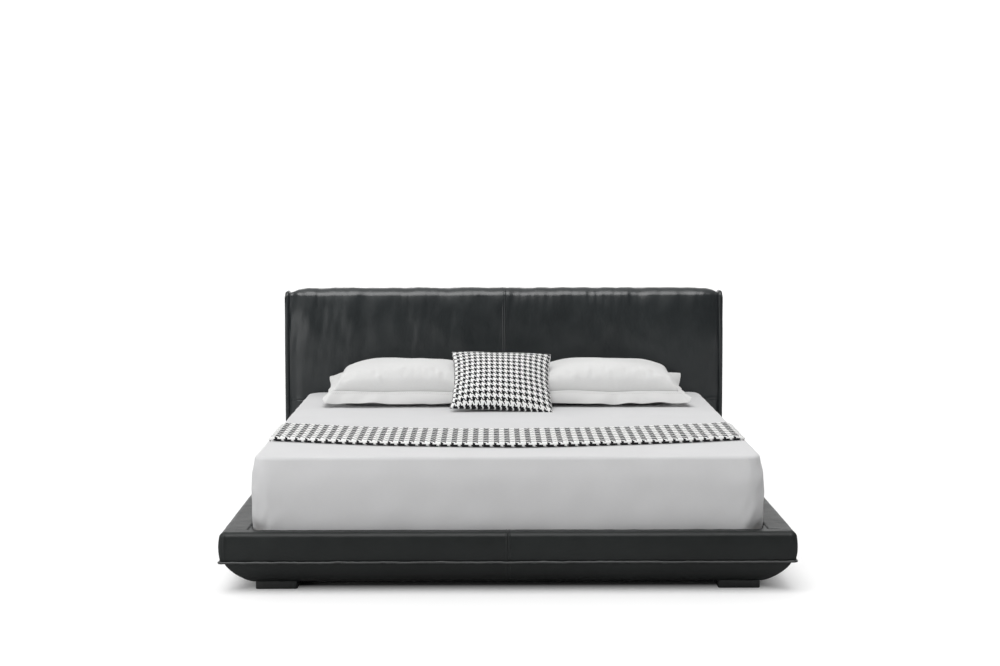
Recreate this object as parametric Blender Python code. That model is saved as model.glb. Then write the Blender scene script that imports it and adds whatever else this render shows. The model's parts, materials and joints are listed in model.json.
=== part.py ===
"""Low upholstered platform bed with mattress and loose bedding.

The bed has padded leather rails round a slatted base, a padded leather
headboard, block feet, and a centre beam on two legs with screw levellers.
Frame: +X to the right seen from the foot end, +Y towards the headboard, +Z up.
The origin is on the floor, at the middle of the whole bed. Lengths are metres.
"""

import math

import bmesh
import bpy
from mathutils import Matrix, Vector

# Driving dimensions
GAP = 0.0003                     # clearance between pieces that touch
HALF_WIDTH = 1.010               # outside of the rails and of the headboard
FRONT_Y = -1.100                 # outside of the foot rail
BACK_Y = 1.100                   # back of the headboard
MATTRESS_SIZE = (1.80, 2.00, 0.28)
MATTRESS_CORNER = 0.075
MATTRESS_EDGE = 0.028
SHEET_THICK = 0.003
SHEET_LIP = 0.120                # how far the sheet is tucked under the mattress
LEDGE_TOP = 0.222                # top of the padded rails
HEADBOARD_TOP = 0.947
HEADBOARD_THICK = 0.120
SIDE_LEDGE = 0.103               # width of the padded ledge along the sides
FOOT_LEDGE = 0.065               # width of the padded ledge at the foot
LEATHER = 0.002

# Rails: u is the distance in from the bed's outside
FASCIA_IN = 0.003                # where the fascia bulges most
FASCIA_BOW = 0.003               # how far its upper and lower edges fall back
FASCIA_MIDDLE_Z = 0.168
FASCIA_BOTTOM = 0.1225
TOP_ROUND = 0.014
LEDGE_ROUND = 0.010
LINING_BOTTOM = 0.1740           # lower edge of the leather inside the ledge
CORE_OUT = 0.024
CORE_IN = 0.060
CORE_TOP = 0.205
CORE_CHAMFER_Z = 0.1155
WELT_RADIUS = 0.0042
WELT_IN = 0.0045
WELT_Z = 0.1180
HULL_START = (0.022, 0.1135)     # lower panel: just behind and under the welt
HULL_END = (0.115, 0.0290)       # lower panel: its inner, lowest edge
HULL_POWER = 1.30
PLINTH_TOP = 0.0897
PLINTH_BOTTOM = HULL_END[1] + LEATHER + GAP
PLINTH_IN = 0.275

# Slatted base
CLEAT = (0.137, 0.135, 0.1697)   # inner face, bottom and top
SLAT_COUNT = 12
SLAT_SIZE = (0.090, 0.020)       # width and thickness
SLAT_END_IN = 0.107
SLAT_FIRST_Y = -0.980
SLAT_LAST_Y = 0.890
BEAM_HALF = 0.030
BEAM_Z = (0.110, 0.1697)
HEAD_RAIL_Y = (0.945, 0.975)
HEAD_RAIL_TOP = 0.165
BRACKET = (0.060, 0.004, 0.0925, 0.130)      # leg, thickness, bottom, top
HANGER = (0.055, 0.0037, 0.095, 0.165, 0.044)  # half width, plate, bottom, top, tongue
LEG_YS = {"front": -0.450, "rear": 0.350}

# Feet
FOOT_SIDE = 0.1485
FOOT_OUT = 0.1165                # outer faces of a foot, in from the bed's outside
FOOT_ROUND = 0.018
FOOT_CHAMFER = 0.003
REAR_FOOT_Y = 0.870

# Headboard
BOARD_HALF = 0.970
BOARD_Y = (1.037, 1.062)
BOARD_Z = (0.090, 0.905)
POST_X = 0.570
POST_HALF = 0.050
POST_Y = (BOARD_Y[1] + GAP, 1.0915)
POST_TOP = 0.850
HEADBOARD_ROUND = 0.042          # rolled front edge
HEADBOARD_CORNER = 0.030         # upper corners, seen from the front
BACK_CLOTH = 0.002
BOLT = (0.0085, 0.003, 0.004)    # head radius, head height and shank radius
BOLT_Z = 0.128
HOLE_CLEARANCE = 0.0004
ROUND_SIDES = 10

# Loose bedding
PILLOW_HALF = (0.375, 0.300)
PILLOW_CENTRE = (0.405, 0.650)
PILLOW_BORDER = 0.060            # flat flange round the filled part
PILLOW_CROWN = 0.122
PILLOW_BELLY = 0.052
PILLOW_EDGE = 0.006
CUSHION_HALF = 0.225
CUSHION_LEAN = 29.0              # degrees up from lying flat
CUSHION_CENTRE = (-0.010, 0.405, 0.609)
CUSHION_CROWN = 0.056
CUSHION_BELLY = 0.030            # flatter where it rests on the pillows
CUSHION_EDGE = 0.010
RUNNER_Y = (-0.800, -0.405)      # its front and back edges at the bed's middle
RUNNER_ARC = 0.230               # how fast they swing back towards the sides, per metre
RUNNER_THICK = 0.014
RUNNER_TURN_X = MATTRESS_SIZE[0] / 2 - MATTRESS_EDGE
RUNNER_DROP = 36                 # degrees that its ends turn down

# Derived places
HEADBOARD_FRONT = BACK_Y - HEADBOARD_THICK
SHEET_FRONT = FRONT_Y + FOOT_LEDGE + 0.003
SLAT_TOP = CLEAT[2] + GAP + SLAT_SIZE[1]
SHEET_BOTTOM = SLAT_TOP + GAP
MATTRESS_BOTTOM = SHEET_BOTTOM + SHEET_THICK + GAP
MATTRESS_TOP = MATTRESS_BOTTOM + MATTRESS_SIZE[2]
SHEET_TOP = MATTRESS_TOP + GAP + SHEET_THICK
MATTRESS_Y = SHEET_FRONT + SHEET_THICK + GAP + MATTRESS_SIZE[1] / 2

# name: (colour, roughness, metallic)
MATERIALS = {
    "charcoal_leather": ((0.045, 0.050, 0.050), 0.42, 0.0),
    "piping_leather": ((0.050, 0.055, 0.055), 0.40, 0.0),
    "foot_lacquer": ((0.015, 0.015, 0.016), 0.45, 0.0),
    "pine": ((0.62, 0.45, 0.27), 0.60, 0.0),
    "beech_slat": ((0.70, 0.52, 0.33), 0.50, 0.0),
    "foam": ((0.80, 0.76, 0.62), 0.95, 0.0),
    "zinc_steel": ((0.62, 0.62, 0.60), 0.35, 1.0),
    "black_steel": ((0.03, 0.03, 0.03), 0.45, 0.6),
    "backing_cloth": ((0.04, 0.04, 0.04), 0.95, 0.0),
    "ticking": ((0.82, 0.81, 0.78), 0.90, 0.0),
    "grey_cotton": ((0.72, 0.72, 0.73), 0.85, 0.0),
    "houndstooth": ((0.45, 0.45, 0.45), 0.90, 0.0),
}


def clear_scene():
    for item in list(bpy.data.objects):
        bpy.data.objects.remove(item, do_unlink=True)


def material(name):
    found = bpy.data.materials.get(name)
    if found:
        return found
    colour, roughness, metallic = MATERIALS[name]
    made = bpy.data.materials.new(name)
    made.use_nodes = True
    shader = made.node_tree.nodes["Principled BSDF"]
    shader.inputs["Base Color"].default_value = (*colour, 1.0)
    shader.inputs["Roughness"].default_value = roughness
    shader.inputs["Metallic"].default_value = metallic
    made.diffuse_color = (*colour, 1.0)
    return made


def finish(name, bm, material_name, origin=(0.0, 0.0, 0.0), smooth=False):
    """Turn a bmesh in world coordinates into a named object with its origin at origin."""
    bmesh.ops.recalc_face_normals(bm, faces=bm.faces[:])
    bmesh.ops.translate(bm, vec=-Vector(origin), verts=bm.verts[:])
    mesh = bpy.data.meshes.new(name)
    bm.to_mesh(mesh)
    bm.free()
    if smooth:
        mesh.shade_smooth()
        mesh.set_sharp_from_angle(angle=math.radians(35))
    mesh.materials.append(material(material_name))
    made = bpy.data.objects.new(name, mesh)
    made.location = origin
    bpy.context.scene.collection.objects.link(made)
    return made


# ---------------------------------------------------------------- basic solids

def add_box(bm, low, high):
    size = Vector(high) - Vector(low)
    middle = (Vector(high) + Vector(low)) / 2
    matrix = Matrix.Translation(middle) @ Matrix.Diagonal((*size, 1.0))
    return bmesh.ops.create_cube(bm, size=1.0, matrix=matrix)["verts"]


def box(name, low, high, material_name, chamfer=0.0):
    bm = bmesh.new()
    add_box(bm, low, high)
    if chamfer:
        bmesh.ops.bevel(bm, geom=bm.edges[:], offset=chamfer, segments=1, affect="EDGES")
    return finish(name, bm, material_name)


def loft(bm, rings):
    """Join rings of equally many points in order, and close both ends."""
    rows = [[bm.verts.new(point) for point in ring] for ring in rings]
    for row, following in zip(rows, rows[1:]):
        count = len(row)
        for i in range(count):
            j = (i + 1) % count
            bm.faces.new((row[i], row[j], following[j], following[i]))
    first = bm.faces.new(rows[0][::-1])
    last = bm.faces.new(rows[-1])
    return rows, first, last


def revolve(bm, profile, matrix, sides):
    """Turn (radius, height) points about local Z. The profile starts and ends on the axis."""
    rings = []
    for radius, height in profile[1:-1]:
        ring = []
        for i in range(sides):
            angle = 2 * math.pi * i / sides
            ring.append(matrix @ Vector((radius * math.cos(angle), radius * math.sin(angle), height)))
        rings.append(ring)
    loft(bm, rings)


def rounded_rectangle(half_x, half_y, radius, z, centre=(0.0, 0.0), steps=4):
    """Points of a rectangle with round corners, anticlockwise."""
    ring = []
    for quarter, (sx, sy) in enumerate(((1, 1), (-1, 1), (-1, -1), (1, -1))):
        cx = centre[0] + sx * (half_x - radius)
        cy = centre[1] + sy * (half_y - radius)
        for step in range(steps + 1):
            angle = math.pi / 2 * (quarter + step / steps)
            ring.append((cx + radius * math.cos(angle), cy + radius * math.sin(angle), z))
    return ring


def arc(centre, radius, start, end, steps=4):
    """Points (u, z) of an arc, angles in degrees."""
    points = []
    for step in range(steps + 1):
        angle = math.radians(start + (end - start) * step / steps)
        points.append((centre[0] + radius * math.cos(angle), centre[1] + radius * math.sin(angle)))
    return points


def drill(target, cutter):
    """Cut the fastener holes of one cutter object out of a piece."""
    cut = target.modifiers.new("holes_" + cutter.name, "BOOLEAN")
    cut.operation = "DIFFERENCE"
    cut.solver = "EXACT"
    cut.object = cutter


# ---------------------------------------------------------------- rails

def side_place(side):
    """Place (u, along, z) on the left (-1) or right (+1) rail."""
    return lambda u, along, z: (side * (HALF_WIDTH - u), along, z)


def foot_place(u, along, z):
    return (along, FRONT_Y + u, z)


def side_run(mitre_depth):
    """A side piece starts at the corner mitre, which turns square past mitre_depth."""
    return lambda u: FRONT_Y + min(u, mitre_depth) + GAP, lambda u: HEADBOARD_FRONT - GAP


def foot_run():
    """The foot rail is mitred at both ends."""
    return lambda u: -HALF_WIDTH + u + GAP, lambda u: HALF_WIDTH - u - GAP


def run_profile(name, outline, place, run, material_name, split_u=None, smooth=False):
    """Run a (u, z) outline along a rail. split_u folds the mitred end where it turns square."""
    start, end = run
    bm = bmesh.new()
    rings = [[place(u, along(u), z) for u, z in outline] for along in (start, end)]
    rows, first, last = loft(bm, rings)
    if split_u is not None:
        folds = [i for i, (u, z) in enumerate(outline) if abs(u - split_u) < 1e-6]
        bmesh.utils.face_split(first, rows[0][folds[0]], rows[0][folds[1]])
    return finish(name, bm, material_name, smooth=smooth)


def rail_skin(depth, inset, lining_bottom):
    """Outside of a rail in (u, z), moved in by inset: up the ledge's inner face, over, down."""
    points = [(depth - inset, lining_bottom)]
    points += arc((depth - LEDGE_ROUND, LEDGE_TOP - LEDGE_ROUND), LEDGE_ROUND - inset, 0, 90, 3)
    if depth > FOOT_LEDGE:
        points.append((FOOT_LEDGE, LEDGE_TOP - inset))
    shoulder_u = FASCIA_IN + FASCIA_BOW
    points += arc((shoulder_u + TOP_ROUND, LEDGE_TOP - TOP_ROUND), TOP_ROUND - inset, 90, 180, 5)
    top = LEDGE_TOP - TOP_ROUND
    for step in range(1, 7):
        z = top + (FASCIA_BOTTOM - top) * step / 6
        bow = FASCIA_BOW * ((z - FASCIA_MIDDLE_Z) / (top - FASCIA_MIDDLE_Z)) ** 2
        points.append((FASCIA_IN + bow + inset, z))
    return points


def hull_curve(inset, count=12):
    """The lower panel's outside in (u, z), from just under the welt in to its lowest edge."""
    reach = HULL_END[0] - HULL_START[0]
    drop = HULL_START[1] - HULL_END[1]
    points = []
    for step in range(count + 1):
        angle = math.pi / 2 * step / count
        across = reach * math.cos(angle) ** (2 / HULL_POWER)
        down = drop * math.sin(angle) ** (2 / HULL_POWER)
        points.append((HULL_END[0] - across, HULL_START[1] - down))
    return offset_path(points, inset)


def offset_path(points, distance):
    """Move a (u, z) path sideways, to the left of its direction, by distance."""
    moved = []
    for i, (u, z) in enumerate(points):
        before = points[max(i - 1, 0)]
        after = points[min(i + 1, len(points) - 1)]
        du, dz = after[0] - before[0], after[1] - before[1]
        length = math.hypot(du, dz)
        moved.append((u - dz / length * distance, z + du / length * distance))
    return moved


def upper_leather_outline(depth):
    outside = rail_skin(depth, 0.0, LINING_BOTTOM)
    inside = rail_skin(depth, LEATHER, LINING_BOTTOM)
    return outside + inside[::-1]


def lower_leather_outline():
    return hull_curve(0.0) + hull_curve(LEATHER)[::-1]


def foam_outline(depth):
    """Padding over the fascia and the ledge; the side ledge also has a block inside the core."""
    inset = LEATHER + GAP
    if depth > FOOT_LEDGE:
        outside = rail_skin(depth, inset, LINING_BOTTOM)
        inner = [(CORE_OUT - GAP, CORE_TOP + GAP), (CORE_IN + GAP, CORE_TOP + GAP),
                 (CORE_IN + GAP, LINING_BOTTOM), (FOOT_LEDGE, LINING_BOTTOM)]
    else:
        outside = rail_skin(depth, inset, CORE_TOP + GAP)
        inner = [(CORE_OUT - GAP, CORE_TOP + GAP)]
    return outside + [(CORE_OUT - GAP, FASCIA_BOTTOM)] + inner


def core_outline():
    """Rail board with its lower outer edge planed back along the lower panel's slope."""
    chamfer_u = CORE_OUT + (CORE_CHAMFER_Z - PLINTH_TOP - GAP)
    return [(CORE_OUT, CORE_CHAMFER_Z), (chamfer_u, PLINTH_TOP + GAP), (CORE_IN, PLINTH_TOP + GAP),
            (CORE_IN, CORE_TOP), (CORE_OUT, CORE_TOP)]


def between_heights(path, top, bottom):
    """The part of a falling (u, z) path between two heights, with its ends cut exactly there."""
    kept = []
    for (u, z), (next_u, next_z) in zip(path, path[1:]):
        for level in (top, bottom):
            if z >= level > next_z:
                kept.append((u + (next_u - u) * (z - level) / (z - next_z), level))
        if top > next_z > bottom:
            kept.append((next_u, next_z))
    return kept


def plinth_outline():
    """Base board whose outer edge is shaped to the lower panel."""
    edge = between_heights(hull_curve(LEATHER + GAP), PLINTH_TOP, PLINTH_BOTTOM)
    return edge + [(PLINTH_IN, PLINTH_BOTTOM), (PLINTH_IN, PLINTH_TOP)]


def build_rail(name, depth, place, upper_run, lower_run):
    """One upholstered rail: board, base board, foam, and its two leather panels."""
    split = FOOT_LEDGE if depth > FOOT_LEDGE else None
    run_profile(name + "_core", core_outline(), place, lower_run, "pine")
    run_profile(name + "_plinth", plinth_outline(), place, lower_run, "pine")
    run_profile(name + "_foam", foam_outline(depth), place, upper_run, "foam", split)
    run_profile(name + "_leather", upper_leather_outline(depth), place, upper_run,
                "charcoal_leather", split, smooth=True)
    run_profile(name + "_lower_leather", lower_leather_outline(), place, lower_run,
                "charcoal_leather", smooth=True)


def build_welt():
    """Piping sewn between the upper and lower panels, round the foot and both sides."""
    side_u = HALF_WIDTH - WELT_IN
    front = FRONT_Y + WELT_IN
    turn = 0.014
    points = [(-side_u, HEADBOARD_FRONT - GAP)]
    for sx, start, end in ((-1, 180, 270), (1, 270, 360)):
        centre = (sx * (side_u - turn), front + turn)
        points += arc(centre, turn, start, end)
    points.append((side_u, HEADBOARD_FRONT - GAP))
    curve = bpy.data.curves.new("base_welt", "CURVE")
    curve.dimensions = "3D"
    curve.bevel_depth = WELT_RADIUS
    curve.bevel_resolution = 2
    curve.use_fill_caps = True
    spline = curve.splines.new("POLY")
    spline.points.add(len(points) - 1)
    for point, (x, y) in zip(spline.points, points):
        point.co = (x, y, WELT_Z, 1.0)
    curve.materials.append(material("piping_leather"))
    made = bpy.data.objects.new("base_welt", curve)
    bpy.context.scene.collection.objects.link(made)


# ---------------------------------------------------------------- slatted base

def build_slats():
    half_width, thick = SLAT_SIZE[0] / 2, SLAT_SIZE[1]
    reach = HALF_WIDTH - SLAT_END_IN
    for i in range(SLAT_COUNT):
        y = SLAT_FIRST_Y + (SLAT_LAST_Y - SLAT_FIRST_Y) * i / (SLAT_COUNT - 1)
        box(f"slat_{i + 1:02d}", (-reach, y - half_width, SLAT_TOP - thick),
            (reach, y + half_width, SLAT_TOP), "beech_slat", chamfer=0.002)


def build_cleat(side):
    place = side_place(side)
    inner, bottom, top = CLEAT
    ends = place(CORE_IN + GAP, FRONT_Y + FOOT_LEDGE, bottom), place(inner, HEAD_RAIL_Y[0] - 0.005, top)
    low = [min(a, b) for a, b in zip(*ends)]
    high = [max(a, b) for a, b in zip(*ends)]
    name = "side_cleat_left" if side < 0 else "side_cleat_right"
    return box(name, low, high, "pine")


def build_head_rail():
    reach = HALF_WIDTH - CORE_IN - 2 * GAP
    return box("head_rail", (-reach, HEAD_RAIL_Y[0], PLINTH_TOP + GAP),
               (reach, HEAD_RAIL_Y[1], HEAD_RAIL_TOP), "pine")


def build_beam():
    start = FRONT_Y + CORE_IN + GAP + HANGER[1] + GAP
    end = HEAD_RAIL_Y[0] - GAP - HANGER[1] - GAP
    return box("centre_beam", (-BEAM_HALF, start, BEAM_Z[0]), (BEAM_HALF, end, BEAM_Z[1]), "pine")


def build_hangers():
    """Two angle plates that carry the ends of the centre beam."""
    half, thick, bottom, top, tongue = HANGER
    shelf = BEAM_Z[0] - GAP
    walls = {"front": (FRONT_Y + CORE_IN + GAP, 1), "rear": (HEAD_RAIL_Y[0] - GAP, -1)}
    for name, (wall, inward) in walls.items():
        outline = [(wall, bottom), (wall + inward * thick, bottom), (wall + inward * thick, shelf - thick),
                   (wall + inward * tongue, shelf - thick), (wall + inward * tongue, shelf),
                   (wall + inward * thick, shelf), (wall + inward * thick, top), (wall, top)]
        bm = bmesh.new()
        loft(bm, [[(x, y, z) for y, z in outline] for x in (-half, half)])
        finish("beam_hanger_" + name, bm, "zinc_steel")


def build_brackets():
    """Angle brackets inside the four corners of the frame."""
    leg, thick, bottom, top = BRACKET
    inner_x = HALF_WIDTH - CORE_IN - GAP
    corners = {"front": (FRONT_Y + CORE_IN + GAP, 1), "rear": (HEAD_RAIL_Y[0] - GAP, -1)}
    outline = [(0, 0), (leg, 0), (leg, thick), (thick, thick), (thick, leg), (0, leg)]
    for end, (y, dy) in corners.items():
        for side, name in ((-1, "left"), (1, "right")):
            bm = bmesh.new()
            loft(bm, [[(side * (inner_x - a), y + dy * b, z) for a, b in outline]
                      for z in (bottom, top)])
            finish(f"corner_bracket_{end}_{name}", bm, "zinc_steel")


def build_centre_leg(name, y):
    """Round leg under the centre beam, bored for its leveller's stem, with a top flange."""
    bore, shaft, flange = 0.0054, 0.022, 0.029
    bottom, bore_top, top = 0.012, 0.066, BEAM_Z[0] - GAP
    bm = bmesh.new()
    profile = [(0, bore_top), (bore, bore_top), (bore, bottom), (shaft, bottom),
               (shaft, top - 0.008), (flange, top - 0.006), (flange, top), (0, top)]
    revolve(bm, profile, Matrix.Translation((0.0, y, 0.0)), 16)
    finish("centre_leg_" + name, bm, "black_steel", origin=(0.0, y, 0.0), smooth=True)
    bm = bmesh.new()
    pad, stem = 0.020, 0.005
    profile = [(0, 0), (pad - 0.002, 0), (pad, 0.002), (pad, 0.009), (pad - 0.002, bottom - GAP),
               (stem, bottom - GAP), (stem, 0.060), (0, 0.060)]
    revolve(bm, profile, Matrix.Translation((0.0, y, 0.0)), 16)
    finish("leveller_" + name, bm, "black_steel", origin=(0.0, y, 0.0), smooth=True)


# ---------------------------------------------------------------- feet

def foot_centres():
    """Name and centre of each block foot."""
    x = HALF_WIDTH - FOOT_OUT - FOOT_SIDE / 2
    front = FRONT_Y + FOOT_OUT + FOOT_SIDE / 2
    return {"front_left": (-x, front), "front_right": (x, front),
            "rear_left": (-x, REAR_FOOT_Y), "rear_right": (x, REAR_FOOT_Y)}


def build_feet():
    half = FOOT_SIDE / 2
    levels = ((0.0, FOOT_CHAMFER), (FOOT_CHAMFER, 0.0), (PLINTH_BOTTOM - GAP, 0.0))
    for name, (x, y) in foot_centres().items():
        bm = bmesh.new()
        loft(bm, [rounded_rectangle(half - inset, half - inset, FOOT_ROUND, z, (x, y))
                  for z, inset in levels])
        finish("foot_" + name, bm, "foot_lacquer", smooth=True)


# ---------------------------------------------------------------- headboard

def headboard_block(bm, inset, back, bottom):
    """Headboard outline with a rolled front edge and round upper corners, moved in by inset."""
    low = Vector((-HALF_WIDTH + inset, HEADBOARD_FRONT + inset, bottom))
    high = Vector((HALF_WIDTH - inset, back, HEADBOARD_TOP - inset))
    add_box(bm, low, high)

    def on(edge, axis, value):
        return all(abs(v.co[axis] - value) < 1e-5 for v in edge.verts)

    corners = [e for e in bm.edges if on(e, 2, high[2]) and (on(e, 0, low[0]) or on(e, 0, high[0]))]
    bmesh.ops.bevel(bm, geom=corners, offset=HEADBOARD_CORNER - inset, segments=4, affect="EDGES",
                    profile=0.5)
    front = [e for e in bm.edges if on(e, 1, low[1]) and not on(e, 2, low[2])]
    bmesh.ops.bevel(bm, geom=front, offset=HEADBOARD_ROUND - inset, segments=6, affect="EDGES",
                    profile=0.5)


def cut_with(target, name, build):
    """Subtract a hidden shape, made by build(bm), from a piece."""
    bm = bmesh.new()
    build(bm)
    cutter = finish(name, bm, "foam")
    cutter.hide_render = True
    cutter.display_type = "WIRE"
    drill(target, cutter)


def build_headboard():
    bottom = PLINTH_BOTTOM
    rim = BACK_Y - BACK_CLOTH - GAP
    bm = bmesh.new()
    headboard_block(bm, 0.0, rim, bottom)
    leather = finish("headboard_leather", bm, "charcoal_leather", smooth=True)
    cut_with(leather, "headboard_hollow_cutter",
             lambda b: headboard_block(b, LEATHER, BACK_Y + 0.05, bottom + LEATHER))
    bm = bmesh.new()
    inset = LEATHER + GAP
    headboard_block(bm, inset, rim - 0.002, bottom + inset)
    foam = finish("headboard_foam", bm, "foam")
    cut_with(foam, "headboard_pocket_cutter",
             lambda b: add_box(b, (-BOARD_HALF - GAP, BOARD_Y[0] - GAP, 0.0),
                               (BOARD_HALF + GAP, BACK_Y + 0.05, BOARD_Z[1] + GAP)))
    board = box("headboard_board", (-BOARD_HALF, BOARD_Y[0], BOARD_Z[0]),
                (BOARD_HALF, BOARD_Y[1], BOARD_Z[1]), "pine")
    posts = []
    for side, name in ((-1, "left"), (1, "right")):
        x = side * POST_X
        posts.append(box("headboard_post_" + name, (x - POST_HALF, POST_Y[0], bottom + inset),
                         (x + POST_HALF, POST_Y[1], POST_TOP), "pine"))
    box("headboard_back_cloth", (-HALF_WIDTH, BACK_Y - BACK_CLOTH, bottom),
        (HALF_WIDTH, BACK_Y, HEADBOARD_TOP - HEADBOARD_CORNER), "backing_cloth")
    return [leather, foam, board, *posts]


def build_headboard_bolts(targets):
    """Connector bolts through the head rail and the headboard into its posts, with their holes."""
    head, head_height, shank = BOLT
    length = POST_Y[1] + 0.0045 - HEAD_RAIL_Y[0]
    turn = Matrix.Rotation(math.radians(-90), 4, "X")
    for side, name in ((-1, "left"), (1, "right")):
        matrix = Matrix.Translation((side * POST_X, HEAD_RAIL_Y[0], BOLT_Z)) @ turn
        bm = bmesh.new()
        revolve(bm, [(0, -head_height - GAP), (head, -head_height - GAP), (head, -GAP),
                     (shank, -GAP), (shank, length), (0, length)], matrix, ROUND_SIDES)
        finish("headboard_bolt_" + name, bm, "zinc_steel", smooth=True)
        wide = shank + HOLE_CLEARANCE
        bm = bmesh.new()
        revolve(bm, [(0, -0.002), (wide, -0.002), (wide, length + 0.001), (0, length + 0.001)],
                matrix, ROUND_SIDES)
        cutter = finish("bolt_hole_cutter_" + name, bm, "zinc_steel")
        cutter.hide_render = True
        cutter.display_type = "WIRE"
        for target in targets:
            if not target.name.startswith("headboard_post") or target.name.endswith(name):
                drill(target, cutter)


# ---------------------------------------------------------------- mattress and bedding

def slab_rings(half_x, half_y, bottom, top, corner, edge, centre_y, lip=None):
    """Rings of a slab with round corners and rolled edges, from its underside to its top."""
    rings = []
    if lip is not None:
        rings.append(rounded_rectangle(half_x - lip, half_y - lip, corner, bottom, (0, centre_y)))
    for centre, start, end in ((bottom + edge, -90, 0), (top - edge, 0, 90)):
        for out, z in arc((-edge, centre), edge, start, end, 3):
            rings.append(rounded_rectangle(half_x + out, half_y + out, corner + out * 0.5, z,
                                           (0, centre_y)))
    return rings


def build_mattress():
    half_x, half_y = MATTRESS_SIZE[0] / 2, MATTRESS_SIZE[1] / 2
    bm = bmesh.new()
    loft(bm, slab_rings(half_x, half_y, MATTRESS_BOTTOM, MATTRESS_TOP, MATTRESS_CORNER,
                        MATTRESS_EDGE, MATTRESS_Y))
    finish("mattress", bm, "ticking", smooth=True)
    inner = slab_rings(half_x + GAP, half_y + GAP, MATTRESS_BOTTOM - GAP, MATTRESS_TOP + GAP,
                       MATTRESS_CORNER + GAP, MATTRESS_EDGE + GAP, MATTRESS_Y, lip=SHEET_LIP)
    out = GAP + SHEET_THICK
    outer = slab_rings(half_x + out, half_y + out, MATTRESS_BOTTOM - out, MATTRESS_TOP + out,
                       MATTRESS_CORNER + out, MATTRESS_EDGE + out, MATTRESS_Y,
                       lip=SHEET_LIP + SHEET_THICK)
    bm = bmesh.new()
    loft(bm, inner[::-1] + outer)
    finish("fitted_sheet", bm, "grey_cotton", smooth=True)


def crowned_pad(name, half_x, half_y, border, crown, belly, edge_thick, matrix, material_name,
                power=2.4, cells=(16, 12)):
    """A filled case: crown above and belly below its edge plane, with a flat border round it."""
    def fullness(a, b, half_a, half_b):
        pa = max(0.0, 1 - abs(a / (half_a - border)) ** power) if border < half_a else 0.0
        pb = max(0.0, 1 - abs(b / (half_b - border)) ** power)
        return math.sqrt(pa * pb)

    def grid_line(half, count):
        """Even cosine-spaced stations inside the border, plus the border's outer edge."""
        inside = half - border
        line = [-inside * math.cos(math.pi * i / (count - 2)) for i in range(count - 1)]
        return [-half] + line + [half] if border else line

    xs, ys = grid_line(half_x, cells[0]), grid_line(half_y, cells[1])
    bm = bmesh.new()

    def surface(sign, height):
        return [[bm.verts.new(matrix @ Vector((x, y, sign * (edge_thick / 2
                + height * fullness(x, y, half_x, half_y))))) for x in xs] for y in ys]

    upper, lower = surface(1, crown), surface(-1, belly)
    for rows, flip in ((upper, False), (lower, True)):
        for row, following in zip(rows, rows[1:]):
            for i in range(len(xs) - 1):
                quad = (row[i], row[i + 1], following[i + 1], following[i])
                bm.faces.new(quad[::-1] if flip else quad)
    edge_up = upper[0] + [r[-1] for r in upper[1:]] + upper[-1][-2::-1] + [r[0] for r in upper[-2:0:-1]]
    edge_low = lower[0] + [r[-1] for r in lower[1:]] + lower[-1][-2::-1] + [r[0] for r in lower[-2:0:-1]]
    count = len(edge_up)
    for i in range(count):
        j = (i + 1) % count
        bm.faces.new((edge_up[i], edge_low[i], edge_low[j], edge_up[j]))
    origin = matrix.translation
    return finish(name, bm, material_name, origin=origin, smooth=True)


def build_bedding():
    seat = SHEET_TOP + PILLOW_BELLY + PILLOW_EDGE / 2 + 2 * GAP
    for side, name in ((-1, "pillow_left"), (1, "pillow_right")):
        place = Matrix.Translation((side * PILLOW_CENTRE[0], PILLOW_CENTRE[1], seat))
        crowned_pad(name, *PILLOW_HALF, PILLOW_BORDER, PILLOW_CROWN, PILLOW_BELLY, PILLOW_EDGE, place,
                    "grey_cotton")
    place = Matrix.Translation(CUSHION_CENTRE) @ Matrix.Rotation(math.radians(CUSHION_LEAN), 4, "X")
    crowned_pad("cushion", CUSHION_HALF, CUSHION_HALF, 0.0, CUSHION_CROWN, CUSHION_BELLY,
                CUSHION_EDGE, place, "houndstooth", cells=(13, 13))
    build_runner()


def runner_ring(x, angle):
    """Section of the folded throw at x; angle is how far its end has turned down there."""
    edge = MATTRESS_EDGE + SHEET_THICK + 5 * GAP
    seat = SHEET_TOP + 2 * GAP
    out, drop = math.sin(math.radians(angle)), 1 - math.cos(math.radians(angle))
    side = math.copysign(1, x)
    low = (x + side * edge * out, seat - edge * drop)
    high = (x + side * (edge + RUNNER_THICK) * out, seat + RUNNER_THICK - (edge + RUNNER_THICK) * drop)
    shift = RUNNER_ARC * low[0] ** 2
    front, back = RUNNER_Y[0] + shift, RUNNER_Y[1] + shift
    return [(low[0], front, low[1]), (high[0], front, high[1]), (high[0], back, high[1]), (low[0], back, low[1])]


def build_runner():
    """Folded throw laid in a shallow arc; its ends turn down over the mattress's rolled edges."""
    turns = [RUNNER_DROP * step / 3 for step in (3, 2, 1)]
    flat = [RUNNER_TURN_X * (i / 7 - 1) for i in range(15)]
    rings = [runner_ring(-RUNNER_TURN_X, angle) for angle in turns]
    rings += [runner_ring(x, 0.0) for x in flat]
    rings += [runner_ring(RUNNER_TURN_X, angle) for angle in turns[::-1]]
    bm = bmesh.new()
    loft(bm, rings)
    finish("bed_runner", bm, "houndstooth", smooth=True)


# ---------------------------------------------------------------- assembly

def main():
    clear_scene()
    for side, name in ((-1, "side_rail_left"), (1, "side_rail_right")):
        build_rail(name, SIDE_LEDGE, side_place(side), side_run(FOOT_LEDGE), side_run(PLINTH_IN))
    build_rail("foot_rail", FOOT_LEDGE, foot_place, foot_run(), foot_run())
    build_welt()
    build_slats()
    for side in (-1, 1):
        build_cleat(side)
    head_rail = build_head_rail()
    build_beam()
    build_hangers()
    build_brackets()
    for name, y in LEG_YS.items():
        build_centre_leg(name, y)
    build_feet()
    build_headboard_bolts([head_rail, *build_headboard()])
    build_mattress()
    build_bedding()


main()
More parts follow.
